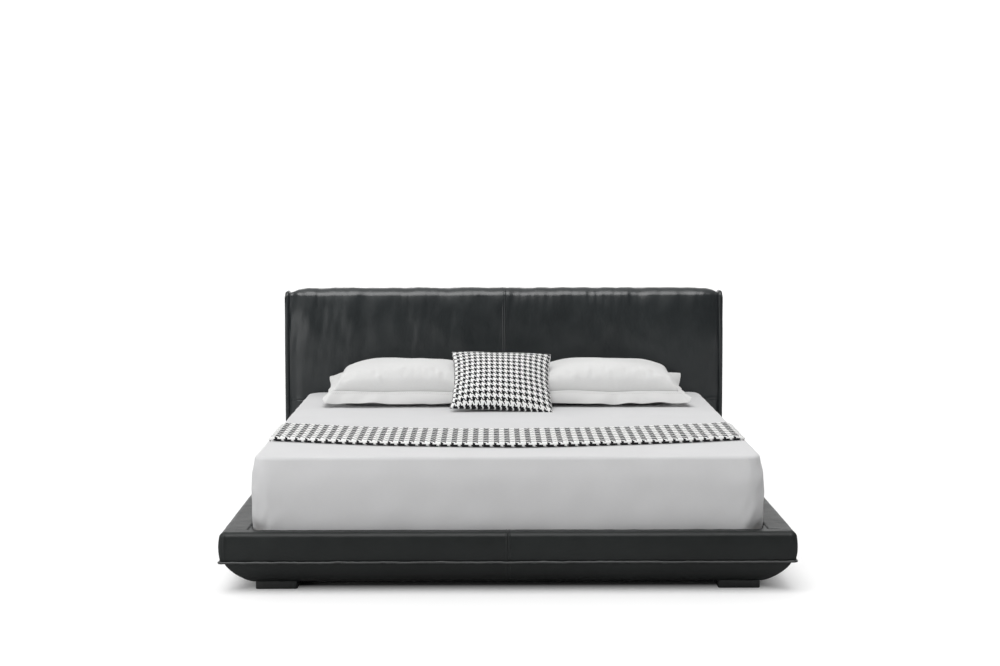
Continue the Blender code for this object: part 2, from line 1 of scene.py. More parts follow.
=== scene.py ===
"""Looks of a low leather platform bed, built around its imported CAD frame.

+X is to the right seen from the foot end, +Y towards the headboard, +Z up. Lengths are metres.
On the rails, u is the distance in from the bed's outside.
"""
import json
import math

import bpy
import numpy as np
from mathutils import Matrix, Vector
from mathutils.bvhtree import BVHTree


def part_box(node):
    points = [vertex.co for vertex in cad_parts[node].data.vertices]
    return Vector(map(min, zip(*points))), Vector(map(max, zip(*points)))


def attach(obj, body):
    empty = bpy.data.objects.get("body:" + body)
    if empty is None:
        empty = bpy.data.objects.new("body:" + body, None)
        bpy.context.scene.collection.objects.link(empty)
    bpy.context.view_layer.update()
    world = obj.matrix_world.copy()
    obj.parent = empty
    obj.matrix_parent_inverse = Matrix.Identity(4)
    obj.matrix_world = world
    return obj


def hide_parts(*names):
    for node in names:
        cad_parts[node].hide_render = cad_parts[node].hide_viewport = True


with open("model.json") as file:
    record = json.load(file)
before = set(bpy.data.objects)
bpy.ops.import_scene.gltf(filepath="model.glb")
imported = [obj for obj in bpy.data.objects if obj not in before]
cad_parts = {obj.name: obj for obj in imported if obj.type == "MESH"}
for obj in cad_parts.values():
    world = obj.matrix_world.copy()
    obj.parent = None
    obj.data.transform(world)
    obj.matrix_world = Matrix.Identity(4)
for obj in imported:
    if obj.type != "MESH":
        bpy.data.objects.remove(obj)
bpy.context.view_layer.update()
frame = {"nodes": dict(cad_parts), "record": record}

NODES = frame["nodes"]


def low_high(node):
    """A CAD node's lowest and highest corners as arrays."""
    low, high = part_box(node)
    return np.array(low), np.array(high)


# Places read from the frame
HEADBOARD_LOW, HEADBOARD_HIGH = low_high("headboard_leather")
FOOT_RAIL_LOW, FOOT_RAIL_HIGH = low_high("foot_rail_leather")
SIDE_RAIL_LOW, SIDE_RAIL_HIGH = low_high("side_rail_right_leather")
SHEET_LOW, SHEET_HIGH = low_high("fitted_sheet")
RUNNER_LOW, RUNNER_HIGH = low_high("bed_runner")
HALF_WIDTH = HEADBOARD_HIGH[0]
FASCIA_IN = 0.003                # the rails' faces stand this far inside the headboard's sides
FRONT_Y = FOOT_RAIL_LOW[1] - FASCIA_IN
LEDGE_TOP = FOOT_RAIL_HIGH[2]
FOOT_LEDGE = FOOT_RAIL_HIGH[1] - FRONT_Y
SIDE_LEDGE = HALF_WIDTH - SIDE_RAIL_LOW[0]
RAIL_END_Y = SIDE_RAIL_HIGH[1]
SHEET_TOP = SHEET_HIGH[2]

# Rails. Their sections follow the CAD's, with a softer upper edge. Pairs are (u, z)
FASCIA_BOW = 0.003               # how far the face falls back at its top
FASCIA_MIDDLE_Z = 0.168
FASCIA_BOTTOM = 0.1225
TOP_ROUND = 0.021                # outer edge of the ledge
LEDGE_ROUND = 0.010              # inner edge of the ledge
LINING_BOTTOM = 0.174            # lower end of the leather inside the recess
WELT_IN = 0.0045
WELT_Z = 0.118
WELT_RADIUS = 0.0042
WELT_TURN = 0.012                # the welt's bend at each front corner
HULL_START = (0.022, 0.1135)     # upper and lower ends of the lower panel
HULL_END = (0.115, 0.0290)
HULL_POWER = 1.30                # how full the lower panel is: 1 would be straight
TUCK = ((0.0100, 0.1168), (0.0120, 0.1152), (0.0213, 0.1150))  # leather's edge behind the welt
FLAP = 0.0034                    # width of the lining's lower edge, under the mattress
LEATHER = 0.0019                 # thickness
MITRE_GAP = 0.0004               # from each rail's leather to the mitre between them
CORNER_ROUND = 0.018             # corners of the bed seen from above
GUSSET_ROUND = 0.072             # inner edge of the leather in the recess's front corners
GUSSET_UNDER = 0.006             # how far that leather runs in under the ledges
CORNER_SEAM = 0.0175             # upright seam beside each front corner
SIDE_JOIN_Y = -0.918             # plain join across each side rail's upper leather

# Feet
FOOT_CORNER = 0.009              # upright edges
FOOT_EASE = 0.0025               # edges against the floor

# Headboard
HEAD_ROUND = 0.034               # rolled upper edge
HEAD_LEAN = 0.046                # how far the front leans back towards its top
HEAD_BOXING = 0.022              # how much of each side's strip shows from the front
HEAD_VALLEY = 0.012              # depth of the seam between the panel and the strip
HEAD_FALL = 0.008                # how far the panel falls back towards that seam
HEAD_SEAM_Z = 0.437              # seam across the panel
HEAD_START_Z = HEADBOARD_LOW[2] + 0.0005
HEAD_PLATE_IN = 0.0392           # where the flat part of each side starts, in from the front and top
HEAD_BACK_ROUND = 0.006
HEAD_BACK_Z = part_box("headboard_back_cloth")[1][2] - 0.012  # leather's lower edge on the back

# Bedding
MATTRESS_HALF_X = 0.900
MATTRESS_HALF_Y = 1.000
MATTRESS_CORNER = 0.075          # corners seen from above
SHEET_TUCK = 0.014               # how far the sheet pulls in at each corner, down at the ledge
HEAD_END_IN = 0.0045             # extra room between the mattress and the headboard
RUNNER_TURN_X = 0.857            # where its ends start to turn down
RUNNER_PITCH = 0.0043            # from one folded layer to the next
RUNNER_WIDE = 0.395              # folded width
RUNNER_ARC = 0.230               # how fast it swings back towards the sides, per metre
RUNNER_SEAT = RUNNER_HIGH[2] - 0.014

PILLOW_X = {"left": -0.430, "right": 0.440}
PILLOW_BODY = (0.655, 0.48)      # flat width and length of the filled part
PILLOW_Y = 0.622
PILLOW_SEAM_Z = 0.541
PILLOW_RISE = 0.118              # crown above the seam
PILLOW_BORDER = 0.062            # width of the flange
PILLOW_FRAMES = 24               # steps of the cloth simulation
CUSHION_CENTRE = np.array([-0.014, 0.398, 0.585])
CUSHION_LEAN = 29.0
CUSHION_DIP = (0.053, 0.025)     # how much its lower and upper edges fall to the right, per metre

# Twin-needle seams
SEAM_LIP = 0.0046                # from the join to the crest of each lip
SEAM_STITCH = 0.0086             # from the join to each row of stitches
STITCH = (0.0058, 0.0082, 0.0005)  # length, pitch and radius
STITCH_LIFT = 0.0002             # from the leather to the thread's middle

# Stage
FLOOR_WHITENING = 1.78           # how much whiter the floor looks than it really is
FLOOR_PAINTED_LIGHT = 0.40                # share of plain white glow mixed into the floor beside the bed: painted light that lifts the bed's shadow there
PAINTED_LIGHT_X = (0.90, 1.02)            # where that share starts and is full, out from the bed's middle
PAINTED_LIGHT_Y = (0.92, 1.03)
FLOOR_HALF = 40.0
WORLD_FRONT_TO_BACK = (0.04, 1.20)  # brightness of the studio in front of and behind the bed
WORLD_LEFT_TO_RIGHT = (1.25, 0.75)
EYE = (-0.0544, FRONT_Y - 6.156, 1.4286)
EYE_TURNS = (0.0828, -0.0044, -0.0015)  # camera's pitch down, turn and roll, in radians
LENS_SHARE = 1.7985              # focal length over the sensor's width

# Cloth
WEAVE = "cloth_metres"           # UV map that holds the flat cloth in metres


# ---------------------------------------------------------------- numbers

def ripple(x, y, wavelength, seed, stretch=1.0, waves=9):
    """Seeded smooth bumps, about -1 to 1. stretch makes them longer along x."""
    draw = np.random.default_rng(seed)
    total = np.zeros(np.broadcast(x, y).shape)
    for _ in range(waves):
        angle = draw.uniform(0, 2 * math.pi)
        k = 2 * math.pi / (wavelength * draw.uniform(0.7, 1.4))
        phase = draw.uniform(0, 2 * math.pi)
        total += np.sin(k * (x / stretch * math.cos(angle) + y * math.sin(angle)) + phase)
    return total / math.sqrt(2 * waves)


def bell(distance, width):
    """1 at distance 0, falling smoothly away from it."""
    return np.exp(-(distance / width) ** 2)


def fade(value, start, end):
    """0 before start, 1 past end, smooth between them."""
    t = np.clip((value - start) / (end - start), 0, 1)
    return t * t * (3 - 2 * t)


def round_over(distance, radius):
    """How far a round edge of that radius has fallen back, distance in from its end."""
    inside = np.clip(radius - distance, 0, radius)
    return radius - np.sqrt(radius ** 2 - inside ** 2)


def spaced(start, end, coarse, fine, features, reach):
    """Places from start to end: fine apart near the features, coarse apart elsewhere."""
    places = [start]
    while places[-1] < end:
        near = min(abs(places[-1] - f) for f in features)
        places.append(places[-1] + fine + (coarse - fine) * min(1.0, near / reach) ** 2)
    places = np.array(places)
    return start + (places - start) * (end - start) / (places[-1] - start)


def arc(centre, radius, start, end, steps=8):
    """Points of an arc in a plane, angles in degrees."""
    angles = np.radians(np.linspace(start, end, steps + 1))
    return [(centre[0] + radius * math.cos(a), centre[1] + radius * math.sin(a)) for a in angles]


def lengths_along(points):
    """Distance from the first point to each point, along the line."""
    return np.concatenate([[0], np.cumsum(np.linalg.norm(np.diff(points, axis=0), axis=1))])


def resample(points, step):
    """Points evenly spaced, about step apart, along a line of points."""
    points = np.array(points, float)
    along = lengths_along(points)
    at = np.linspace(0, along[-1], max(2, round(along[-1] / step) + 1))
    return np.stack([np.interp(at, along, column) for column in points.T], axis=1)


# ---------------------------------------------------------------- meshes

def make_object(name, points, faces, finish, uv=None):
    """A smooth shaded mesh object; uv holds one pair of metres for each point."""
    mesh = bpy.data.meshes.new(name)
    mesh.from_pydata(np.asarray(points, float).tolist(), [], faces)
    if uv is not None:
        corner = np.zeros(len(mesh.loops), int)
        mesh.loops.foreach_get("vertex_index", corner)
        layer = mesh.uv_layers.new(name=WEAVE)
        layer.data.foreach_set("uv", np.asarray(uv, float)[corner].ravel())
    mesh.shade_smooth()
    mesh.materials.append(finish)
    piece = bpy.data.objects.new(name, mesh)
    bpy.context.scene.collection.objects.link(piece)
    return piece


def grid_faces(rows, columns, closed=False, flip=False):
    """Quads of a grid whose points run row by row; closed joins the last column to the first."""
    faces = []
    for i in range(rows - 1):
        for j in range(columns if closed else columns - 1):
            k = (j + 1) % columns
            quad = [i * columns + j, i * columns + k, (i + 1) * columns + k, (i + 1) * columns + j]
            faces.append(quad[::-1] if flip else quad)
    return faces


def grid_normals(points):
    """Unit normals at a grid's points."""
    normals = np.cross(np.gradient(points, axis=0), np.gradient(points, axis=1))
    return normals / np.maximum(np.linalg.norm(normals, axis=2, keepdims=True), 1e-12)


def faces_out(points, centre):
    """+1 if the grid's own normals point away from centre, else -1."""
    return 1 if (grid_normals(points) * (points - centre)).sum() > 0 else -1


def thicken(piece, thickness, offset=-1.0):
    """Give an open surface a thickness: inwards with offset -1, to both sides with 0."""
    wall = piece.modifiers.new("thickness", "SOLIDIFY")
    wall.thickness = thickness
    wall.offset = offset


def refine(piece):
    """Smooth a piece with one level of subdivision."""
    finer = piece.modifiers.new("finer", "SUBSURF")
    finer.levels = finer.render_levels = 1


def skin(name, points, raised, centre, finish, thickness=LEATHER, offset=-1.0, uv=None):
    """A sheet of leather or cloth over a grid of points, moved outwards by raised."""
    sign = faces_out(points, centre)
    points = points + grid_normals(points) * (sign * raised)[..., None]
    rows, columns = points.shape[:2]
    flat_uv = None if uv is None else uv.reshape(-1, 2)
    faces = grid_faces(rows, columns, flip=sign > 0)
    piece = make_object(name, points.reshape(-1, 3), faces, finish, flat_uv)
    thicken(piece, thickness, offset)
    return piece


def close_ends(faces, rows, columns):
    """Add the two end faces of a closed grid of points."""
    faces.append(list(range(columns))[::-1])
    faces.append([(rows - 1) * columns + i for i in range(columns)])


def place_on(piece, body):
    """Attach a new piece to the body it rides."""
    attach(piece, body)


def tube(name, path, radius, finish, sides=12):
    """A closed tube along a path of points, with a radius for each."""
    direction = np.gradient(path, axis=0)
    direction /= np.linalg.norm(direction, axis=1, keepdims=True)
    side = np.cross(direction, (0, 0, 1.0))
    side /= np.maximum(np.linalg.norm(side, axis=1, keepdims=True), 1e-9)
    up = np.cross(side, direction)
    angle = np.linspace(0, 2 * math.pi, sides, endpoint=False)
    across, upward = np.cos(angle)[None, :, None], np.sin(angle)[None, :, None]
    ring = side[:, None] * across + up[:, None] * upward
    points = path[:, None] + ring * radius[:, None, None]
    faces = grid_faces(len(path), sides, closed=True)
    close_ends(faces, len(path), sides)
    return make_object(name, points.reshape(-1, 3), faces, finish)


def add_stitch(points, faces, start, end):
    """Add a short rounded thread from start to end."""
    radius, first = STITCH[2], len(points)
    axis = end - start
    length = np.linalg.norm(axis)
    axis = axis / length
    side = np.cross(axis, (0.3, 0.5, 0.8))
    side /= np.linalg.norm(side)
    up = np.cross(axis, side)
    for along, wide in ((0.0, 0.45), (0.12, 1.0), (0.88, 1.0), (1.0, 0.45)):
        for i in range(6):
            a = math.pi / 3 * i
            offset = (side * math.cos(a) + up * math.sin(a)) * radius * wide
            points.append(start + axis * length * along + offset)
    thread_faces = grid_faces(4, 6, closed=True)
    close_ends(thread_faces, 4, 6)
    faces += [[first + k for k in face] for face in thread_faces]


def stitches(name, lines, aim, cover):
    """Rows of dark thread along lines of points, dropped onto a cover in direction aim."""
    length, pitch, _ = STITCH
    mesh = cover.data
    tree = BVHTree.FromPolygons([v.co for v in mesh.vertices], [p.vertices for p in mesh.polygons])
    points, faces = [], []
    for line in lines:
        landed = []
        for place in resample(line, pitch / 4):
            hit = tree.ray_cast(Vector(place), Vector(aim), 0.4)[0]
            landed.append(None if hit is None else np.array(hit) - np.array(aim) * STITCH_LIFT)
        for i in range(0, len(landed) - 4, 4):
            start, end = landed[i], landed[i + 3]
            if start is None or end is None or np.linalg.norm(end - start) > 2 * pitch:
                continue
            add_stitch(points, faces, start, start + (end - start) * length / (0.75 * pitch))
    sewn = make_object(name, points, faces, DARK_THREAD)
    place_on(sewn, "bed_frame")


def sewn_rows(name, rows):
    """Pale thread along rows of points that already lie on the cloth."""
    length, pitch, _ = STITCH
    points, faces = [], []
    for row in rows:
        places = resample(row, pitch)
        for start, ahead in zip(places[:-1], places[1:]):
            add_stitch(points, faces, start, start + (ahead - start) * length / pitch)
    return make_object(name, points, faces, PALE_THREAD)


# ---------------------------------------------------------------- materials

class Nodes:
    """A node tree, with short calls to add to it."""

    def __init__(self, owner):
        owner.use_nodes = True
        self.tree = owner.node_tree

    def add(self, kind, inputs=None, **settings):
        node = self.tree.nodes.new("ShaderNode" + kind)
        for key, value in settings.items():
            setattr(node, key, value)
        for key, value in (inputs or {}).items():
            if isinstance(value, bpy.types.NodeSocket):
                self.tree.links.new(value, node.inputs[key])
            else:
                node.inputs[key].default_value = value
        return node

    def math(self, operation, a, b=0.0, c=0.0):
        return self.add("Math", {0: a, 1: b, 2: c}, operation=operation).outputs[0]

    def place(self):
        return self.add("TexCoord").outputs["Object"]

    def flat_cloth(self):
        return self.add("UVMap", uv_map=WEAVE).outputs["UV"]

    def split(self, vector):
        return self.add("SeparateXYZ", {"Vector": vector}).outputs

    def stretched(self, vector, scale):
        return self.add("Mapping", {"Vector": vector, "Scale": scale}).outputs["Vector"]

    def noise(self, vector, scale, detail=3.0, roughness=0.55):
        inputs = {"Vector": vector, "Scale": scale, "Detail": detail, "Roughness": roughness}
        return self.add("TexNoise", inputs).outputs["Fac"]

    def ramp(self, value, low, high, to_low=0.0, to_high=1.0):
        inputs = {"Value": value, "From Min": low, "From Max": high, "To Min": to_low,
                  "To Max": to_high}
        return self.add("MapRange", inputs).outputs["Result"]

    def mix(self, factor, a, b):
        node = self.add("Mix", data_type="RGBA")
        for key, value in (("Factor_Float", factor), ("A_Color", a), ("B_Color", b)):
            socket = next(s for s in node.inputs if s.identifier == key)
            if isinstance(value, bpy.types.NodeSocket):
                self.tree.links.new(value, socket)
            else:
                socket.default_value = value if isinstance(value, float) else (*value, 1.0)
        return next(s for s in node.outputs if s.identifier == "Result_Color")

    def tone(self, value, low, high, dark, light):
        return self.mix(self.ramp(value, low, high), dark, light)

    def bump(self, height, distance, strength=1.0, over=None):
        inputs = {"Height": height, "Distance": distance, "Strength": strength}
        if over is not None:
            inputs["Normal"] = over
        return self.add("Bump", inputs).outputs["Normal"]


class Finish(Nodes):
    """A material's node tree, with the plain values of its shader set first."""

    def __init__(self, name, **constants):
        self.material = bpy.data.materials.new(name)
        super().__init__(self.material)
        self.shader = self.tree.nodes["Principled BSDF"]
        for socket, value in constants.items():
            self.shader.inputs[socket.replace("_", " ")].default_value = value

    def done(self, colour, roughness=None, normal=None):
        """Link the colour, and any roughness and normal, and return the material."""
        for key, value in (("Base Color", colour), ("Roughness", roughness), ("Normal", normal)):
            if value is not None:
                self.tree.links.new(value, self.shader.inputs[key])
        return self.material


def times(colour, factor):
    """A colour made that many times as bright."""
    return tuple(factor * c for c in colour)


def leather(name, dark, light, rough, specular, grain_strength=0.5):
    """Semi-gloss hide: pebbled grain, fine pores, cloudy colour and rubbed patches."""
    n = Finish(name, Specular_IOR_Level=specular)
    place = n.place()
    clouds = n.noise(place, 2.6, 4.0)
    patches = n.noise(place, 11.0, 5.0)
    grain = n.add("TexVoronoi", {"Vector": place, "Scale": 620.0, "Randomness": 1.0}, feature="F1")
    pores = n.noise(place, 1500.0, 2.0)
    creases = n.add("TexVoronoi", {"Vector": n.stretched(place, (1.0, 1.0, 0.6)), "Scale": 190.0},
                    feature="DISTANCE_TO_EDGE")
    tone = n.math("ADD", n.math("MULTIPLY", clouds, 0.7), n.math("MULTIPLY", patches, 0.3))
    colour = n.tone(tone, 0.36, 0.64, dark, light)
    roughness = n.ramp(patches, 0.3, 0.7, *rough)
    normal = n.bump(n.ramp(creases.outputs["Distance"], 0.0, 0.12), 0.00020, 0.7 * grain_strength)
    normal = n.bump(grain.outputs["Distance"], 0.00022, grain_strength, normal)
    normal = n.bump(pores, 0.00008, 0.8 * grain_strength, normal)
    return n.done(colour, roughness, normal)


def thread(name, colour):
    """Twisted sewing thread."""
    n = Finish(name, Roughness=0.6)
    place = n.place()
    twist = n.noise(place, 2600.0, 2.0)
    tone = n.tone(twist, 0.3, 0.7, times(colour, 0.75), colour)
    return n.done(tone, normal=n.bump(twist, 0.0002))


def woven_height(n, uv, count):
    """Plain weave seen as a height: crossing threads, count of them to the metre."""
    flat = n.split(uv)
    across = n.math("MULTIPLY", flat["X"], count * math.pi)
    down = n.math("MULTIPLY", flat["Y"], count * math.pi)
    return n.math("ABSOLUTE", n.math("MULTIPLY", n.math("SINE", across), n.math("SINE", down)))


def cotton(name, shade, spread=0.03, count=900.0):
    """Plain woven cotton: fine crossing threads, faint slubs and soft sheen."""
    n = Finish(name, Roughness=0.88, Sheen_Weight=0.12, Sheen_Roughness=0.5, Specular_IOR_Level=0.25)
    place = n.place()
    uv = n.flat_cloth()
    slubs = n.noise(n.stretched(uv, (60.0, 900.0, 1.0)), 1.0, 3.0)
    clouds = n.noise(place, 5.0, 3.0)
    tone = n.math("ADD", n.math("MULTIPLY", slubs, 0.5), n.math("MULTIPLY", clouds, 0.5))
    colour = n.tone(tone, 0.35, 0.65, times(shade, 1 - spread), times(shade, 1 + spread))
    normal = n.bump(woven_height(n, uv, count), 0.00016, 0.5)
    normal = n.bump(slubs, 0.0002, 0.3, normal)
    return n.done(colour, normal=normal)


def houndstooth(name, period):
    """Four dark and four light threads in a two-and-two twill, period metres to the repeat."""
    n = Finish(name, Roughness=0.9, Sheen_Weight=0.1, Sheen_Roughness=0.5, Specular_IOR_Level=0.25)
    uv = n.flat_cloth()
    flat = n.split(uv)
    number_x = n.math("FLOOR", n.math("MULTIPLY", flat["X"], 8 / period[0]))
    number_y = n.math("FLOOR", n.math("MULTIPLY", flat["Y"], 8 / period[1]))
    warp = n.math("LESS_THAN", n.math("FLOORED_MODULO", number_x, 8.0), 4.0)
    weft = n.math("LESS_THAN", n.math("FLOORED_MODULO", number_y, 8.0), 4.0)
    crossing = n.math("FLOORED_MODULO", n.math("ADD", number_x, number_y), 4.0)
    over = n.math("LESS_THAN", crossing, 2.0)
    shown = n.math("ADD", n.math("MULTIPLY", warp, over),
                   n.math("MULTIPLY", weft, n.math("SUBTRACT", 1.0, over)))
    fibres = n.noise(n.stretched(uv, (1400.0, 1400.0, 1.0)), 1.0, 3.0)
    ink = n.tone(fibres, 0.3, 0.75, INK, times(INK, 2.4))
    ground = n.tone(fibres, 0.25, 0.7, times(CHALK, 0.88), CHALK)
    normal = n.bump(woven_height(n, uv, 640.0), 0.00035, 0.6)
    normal = n.bump(fibres, 0.0002, 0.4, normal)
    return n.done(n.mix(shown, ground, ink), normal=normal)


def wood(name, dark, light, along="x", rough=(0.45, 0.62), grain=26.0):
    """Planed timber with rings drawn out along the piece and fine pores."""
    n = Finish(name, Specular_IOR_Level=0.4)
    place = n.stretched(n.place(), [0.06 if axis == along else 1.0 for axis in "xyz"])
    warp = n.noise(place, 9.0, 4.0)
    rings = n.add("TexWave", {"Vector": place, "Scale": grain, "Distortion": 7.0, "Detail": 3.0},
                  wave_type="RINGS", rings_direction=along.upper())
    pores = n.noise(place, 420.0, 3.0)
    tone = n.math("ADD", n.math("MULTIPLY", rings.outputs["Fac"], 0.55), n.math("MULTIPLY", warp, 0.45))
    colour = n.tone(tone, 0.2, 0.85, dark, light)
    colour = n.tone(pores, 0.28, 0.42, times(dark, 0.6), colour)
    return n.done(colour, n.ramp(pores, 0.3, 0.7, rough[1], rough[0]), n.bump(pores, 0.0003, 0.5))


def lacquer(name, colour):
    """Sprayed dark lacquer over wood: faint orange peel, grain and dust."""
    n = Finish(name, Specular_IOR_Level=0.5)
    place = n.place()
    peel = n.noise(place, 260.0, 2.0)
    grain = n.noise(n.stretched(place, (1.0, 1.0, 0.08)), 190.0, 3.0)
    tone = n.tone(grain, 0.35, 0.7, colour, times(colour, 1.35))
    normal = n.bump(grain, 0.0002, 0.4, n.bump(peel, 0.0003, 0.25))
    return n.done(tone, n.ramp(peel, 0.3, 0.7, 0.34, 0.46), normal)


def steel(name, colour, metallic=1.0, rough=(0.28, 0.48)):
    """Plated or painted steel: rolling marks, mottled gloss and small scratches."""
    n = Finish(name, Metallic=metallic)
    place = n.place()
    spangle = n.add("TexVoronoi", {"Vector": place, "Scale": 90.0, "Randomness": 1.0})
    marks = n.noise(n.stretched(place, (1.0, 14.0, 14.0)), 60.0, 3.0)
    tone = n.tone(spangle.outputs["Distance"], 0.0, 0.9, times(colour, 0.82), colour)
    return n.done(tone, n.ramp(marks, 0.3, 0.7, *rough), n.bump(marks, 0.0001, 0.5))


def foam(name, colour):
    """Cut polyurethane foam with open cells."""
    n = Finish(name, Roughness=0.95, Specular_IOR_Level=0.1)
    place = n.place()
    cells = n.add("TexVoronoi", {"Vector": place, "Scale": 700.0, "Randomness": 1.0})
    tint = n.noise(place, 14.0, 3.0)
    tone = n.tone(tint, 0.3, 0.7, times(colour, 0.9), colour)
    tone = n.tone(cells.outputs["Distance"], 0.1, 0.5, times(colour, 0.7), tone)
    return n.done(tone, normal=n.bump(cells.outputs["Distance"], 0.0008, 0.8))


def back_cloth(name, colour):
    """Spunbonded black lining with dimples in rows."""
    n = Finish(name, Roughness=0.95, Specular_IOR_Level=0.2)
    place = n.place()
    cloth = n.split(place)
    dimple_x = n.math("SINE", n.math("MULTIPLY", cloth["X"], 1100.0))
    dimple_z = n.math("SINE", n.math("MULTIPLY", cloth["Z"], 1100.0))
    dimples = n.math("MULTIPLY", dimple_x, dimple_z)
    fibres = n.noise(n.stretched(place, (1.0, 1.0, 0.4)), 900.0, 3.0)
    tone = n.tone(fibres, 0.3, 0.7, colour, times(colour, 1.8))
    return n.done(tone, normal=n.bump(dimples, 0.0003, 0.6, n.bump(fibres, 0.0003, 0.5)))


INK = (0.006, 0.006, 0.007)
CHALK = (0.86, 0.86, 0.85)
PINE_TONES = ((0.50, 0.33, 0.17), (0.70, 0.52, 0.31))
STAINED_TONES = ((0.020, 0.019, 0.018), (0.034, 0.032, 0.030))

RAIL_LEATHER = leather("rail_hide", (0.0098, 0.0115, 0.0113), (0.0153, 0.0177, 0.0175),
                       rough=(0.40, 0.48), specular=0.28)
HEAD_LEATHER = leather("headboard_hide", (0.0155, 0.0188, 0.0202), (0.0235, 0.0278, 0.0292),
                       rough=(0.30, 0.34), specular=0.60, grain_strength=0.22)
# The piping's leather is coloured much lighter than the rails': a painted highlight along the welt.
PIPING_LEATHER_PAINTED_HIGHLIGHT = leather("piping_hide_painted_highlight", (0.028, 0.030, 0.030), (0.055, 0.058, 0.058),
                         rough=(0.30, 0.42), specular=0.5)
DARK_THREAD = thread("dark_thread", (0.030, 0.033, 0.034))
PALE_THREAD = thread("pale_thread", (0.50, 0.50, 0.49))
SHEET_COTTON = cotton("sheet_cotton", (0.60, 0.60, 0.605))
PILLOW_COTTON = cotton("pillow_cotton", (0.66, 0.66, 0.655))
TICKING = cotton("mattress_ticking", (0.70, 0.69, 0.66), spread=0.06, count=500.0)
CUSHION_CLOTH = houndstooth("cushion_houndstooth", (0.0257, 0.0333))
RUNNER_CLOTH = houndstooth("runner_houndstooth", (0.0387, 0.0460))
FOOT_LACQUER = lacquer("foot_lacquer", (0.032, 0.034, 0.034))
PINE = [wood("pine_along_" + axis, *PINE_TONES, axis) for axis in "xyz"]
STAINED = [wood("stained_along_" + axis, *STAINED_TONES, axis) for axis in "xyz"]
BEECH = wood("beech_slats", (0.60, 0.42, 0.25), (0.76, 0.58, 0.38), rough=(0.35, 0.5), grain=34.0)
ZINC = steel("zinc_plate", (0.66, 0.66, 0.63))
BLACK_STEEL = steel("black_painted_steel", (0.020, 0.020, 0.021), metallic=0.0, rough=(0.38, 0.5))
FOAM = foam("cut_foam", (0.78, 0.72, 0.55))
LINING = back_cloth("black_lining", (0.018, 0.018, 0.019))


# ---------------------------------------------------------------- rails

def rail_profile(depth):
    """(u, z) over a rail's upper leather: up the lining, across the ledge, down the fascia."""
    shoulder = FASCIA_IN + FASCIA_BOW
    points = [(depth + FLAP, LINING_BOTTOM + 0.0015), (depth, LINING_BOTTOM + 0.0015)]
    points.append((depth, LEDGE_TOP - LEDGE_ROUND))
    points += arc((depth - LEDGE_ROUND, LEDGE_TOP - LEDGE_ROUND), LEDGE_ROUND, 0, 90)
    points += arc((shoulder + TOP_ROUND, LEDGE_TOP - TOP_ROUND), TOP_ROUND, 90, 180)
    top = LEDGE_TOP - TOP_ROUND
    for z in np.linspace(top, FASCIA_BOTTOM, 16)[1:]:
        bow = FASCIA_BOW * ((z - FASCIA_MIDDLE_Z) / (top - FASCIA_MIDDLE_Z)) ** 2
        points.append((FASCIA_IN + bow, z))
    return resample(points + list(TUCK), 0.0035)


def hull_profile():
    """(u, z) down the lower panel: steep under the welt, flattening below the bed."""
    angle = np.linspace(0, math.pi / 2, 60)
    across = (HULL_END[0] - HULL_START[0]) * np.cos(angle) ** (2 / HULL_POWER)
    down = (HULL_START[1] - HULL_END[1]) * np.sin(angle) ** (2 / HULL_POWER)
    return resample(np.stack([HULL_END[0] - across, HULL_START[1] - down], axis=1), 0.0045)


def corner_start(u):
    """How far from the corner a point at depth u meets the other rail's leather."""
    a = np.array(u, float)
    for _ in range(60):
        a = 0.5 * a + 0.5 * (u + round_over(a, CORNER_ROUND))
    return a


def foot_grid(profile, columns):
    """Points, the distance to the nearer corner, and X, over the foot rail."""
    u, z = profile.T
    reach = HALF_WIDTH - corner_start(u) - MITRE_GAP
    x = columns[:, None] / HALF_WIDTH * reach[None, :]
    corner = HALF_WIDTH - np.abs(x)
    y = FRONT_Y + u[None, :] + round_over(corner, CORNER_ROUND)
    return np.stack([x, y, np.broadcast_to(z, x.shape)], axis=2), corner, x


def side_grid(profile, columns, side, furthest):
    """Points, the distance to the front corner, and Y, over a side rail that meets the foot rail
    on the mitre, but no further than furthest from the bed's front."""
    u, z = profile.T
    start = FRONT_Y + np.minimum(corner_start(u), furthest) + MITRE_GAP
    share = (columns - columns[0]) / (columns[-1] - columns[0])
    y = start[None, :] + share[:, None] * (RAIL_END_Y - start)[None, :]
    corner = y - FRONT_Y
    x = side * (HALF_WIDTH - u[None, :] - round_over(corner, CORNER_ROUND))
    return np.stack([x, y, np.broadcast_to(z, x.shape)], axis=2), corner, y


def twin_seam(distance):
    """Height across a pressed-open seam with a row of stitches on each side."""
    away = np.abs(distance)
    lips = 0.0012 * bell(away - SEAM_LIP, 0.0024)
    groove = 0.0011 * bell(away, 0.0013) + 0.0006 * bell(away - SEAM_STITCH, 0.0012)
    return lips - groove


def puckers(along, away, seed, height, wavelength, reach):
    """Small gathers that run out from a seam; away is the distance from it."""
    wave = ripple(along, away, wavelength, seed, waves=7)
    return height * wave * bell(away, reach)


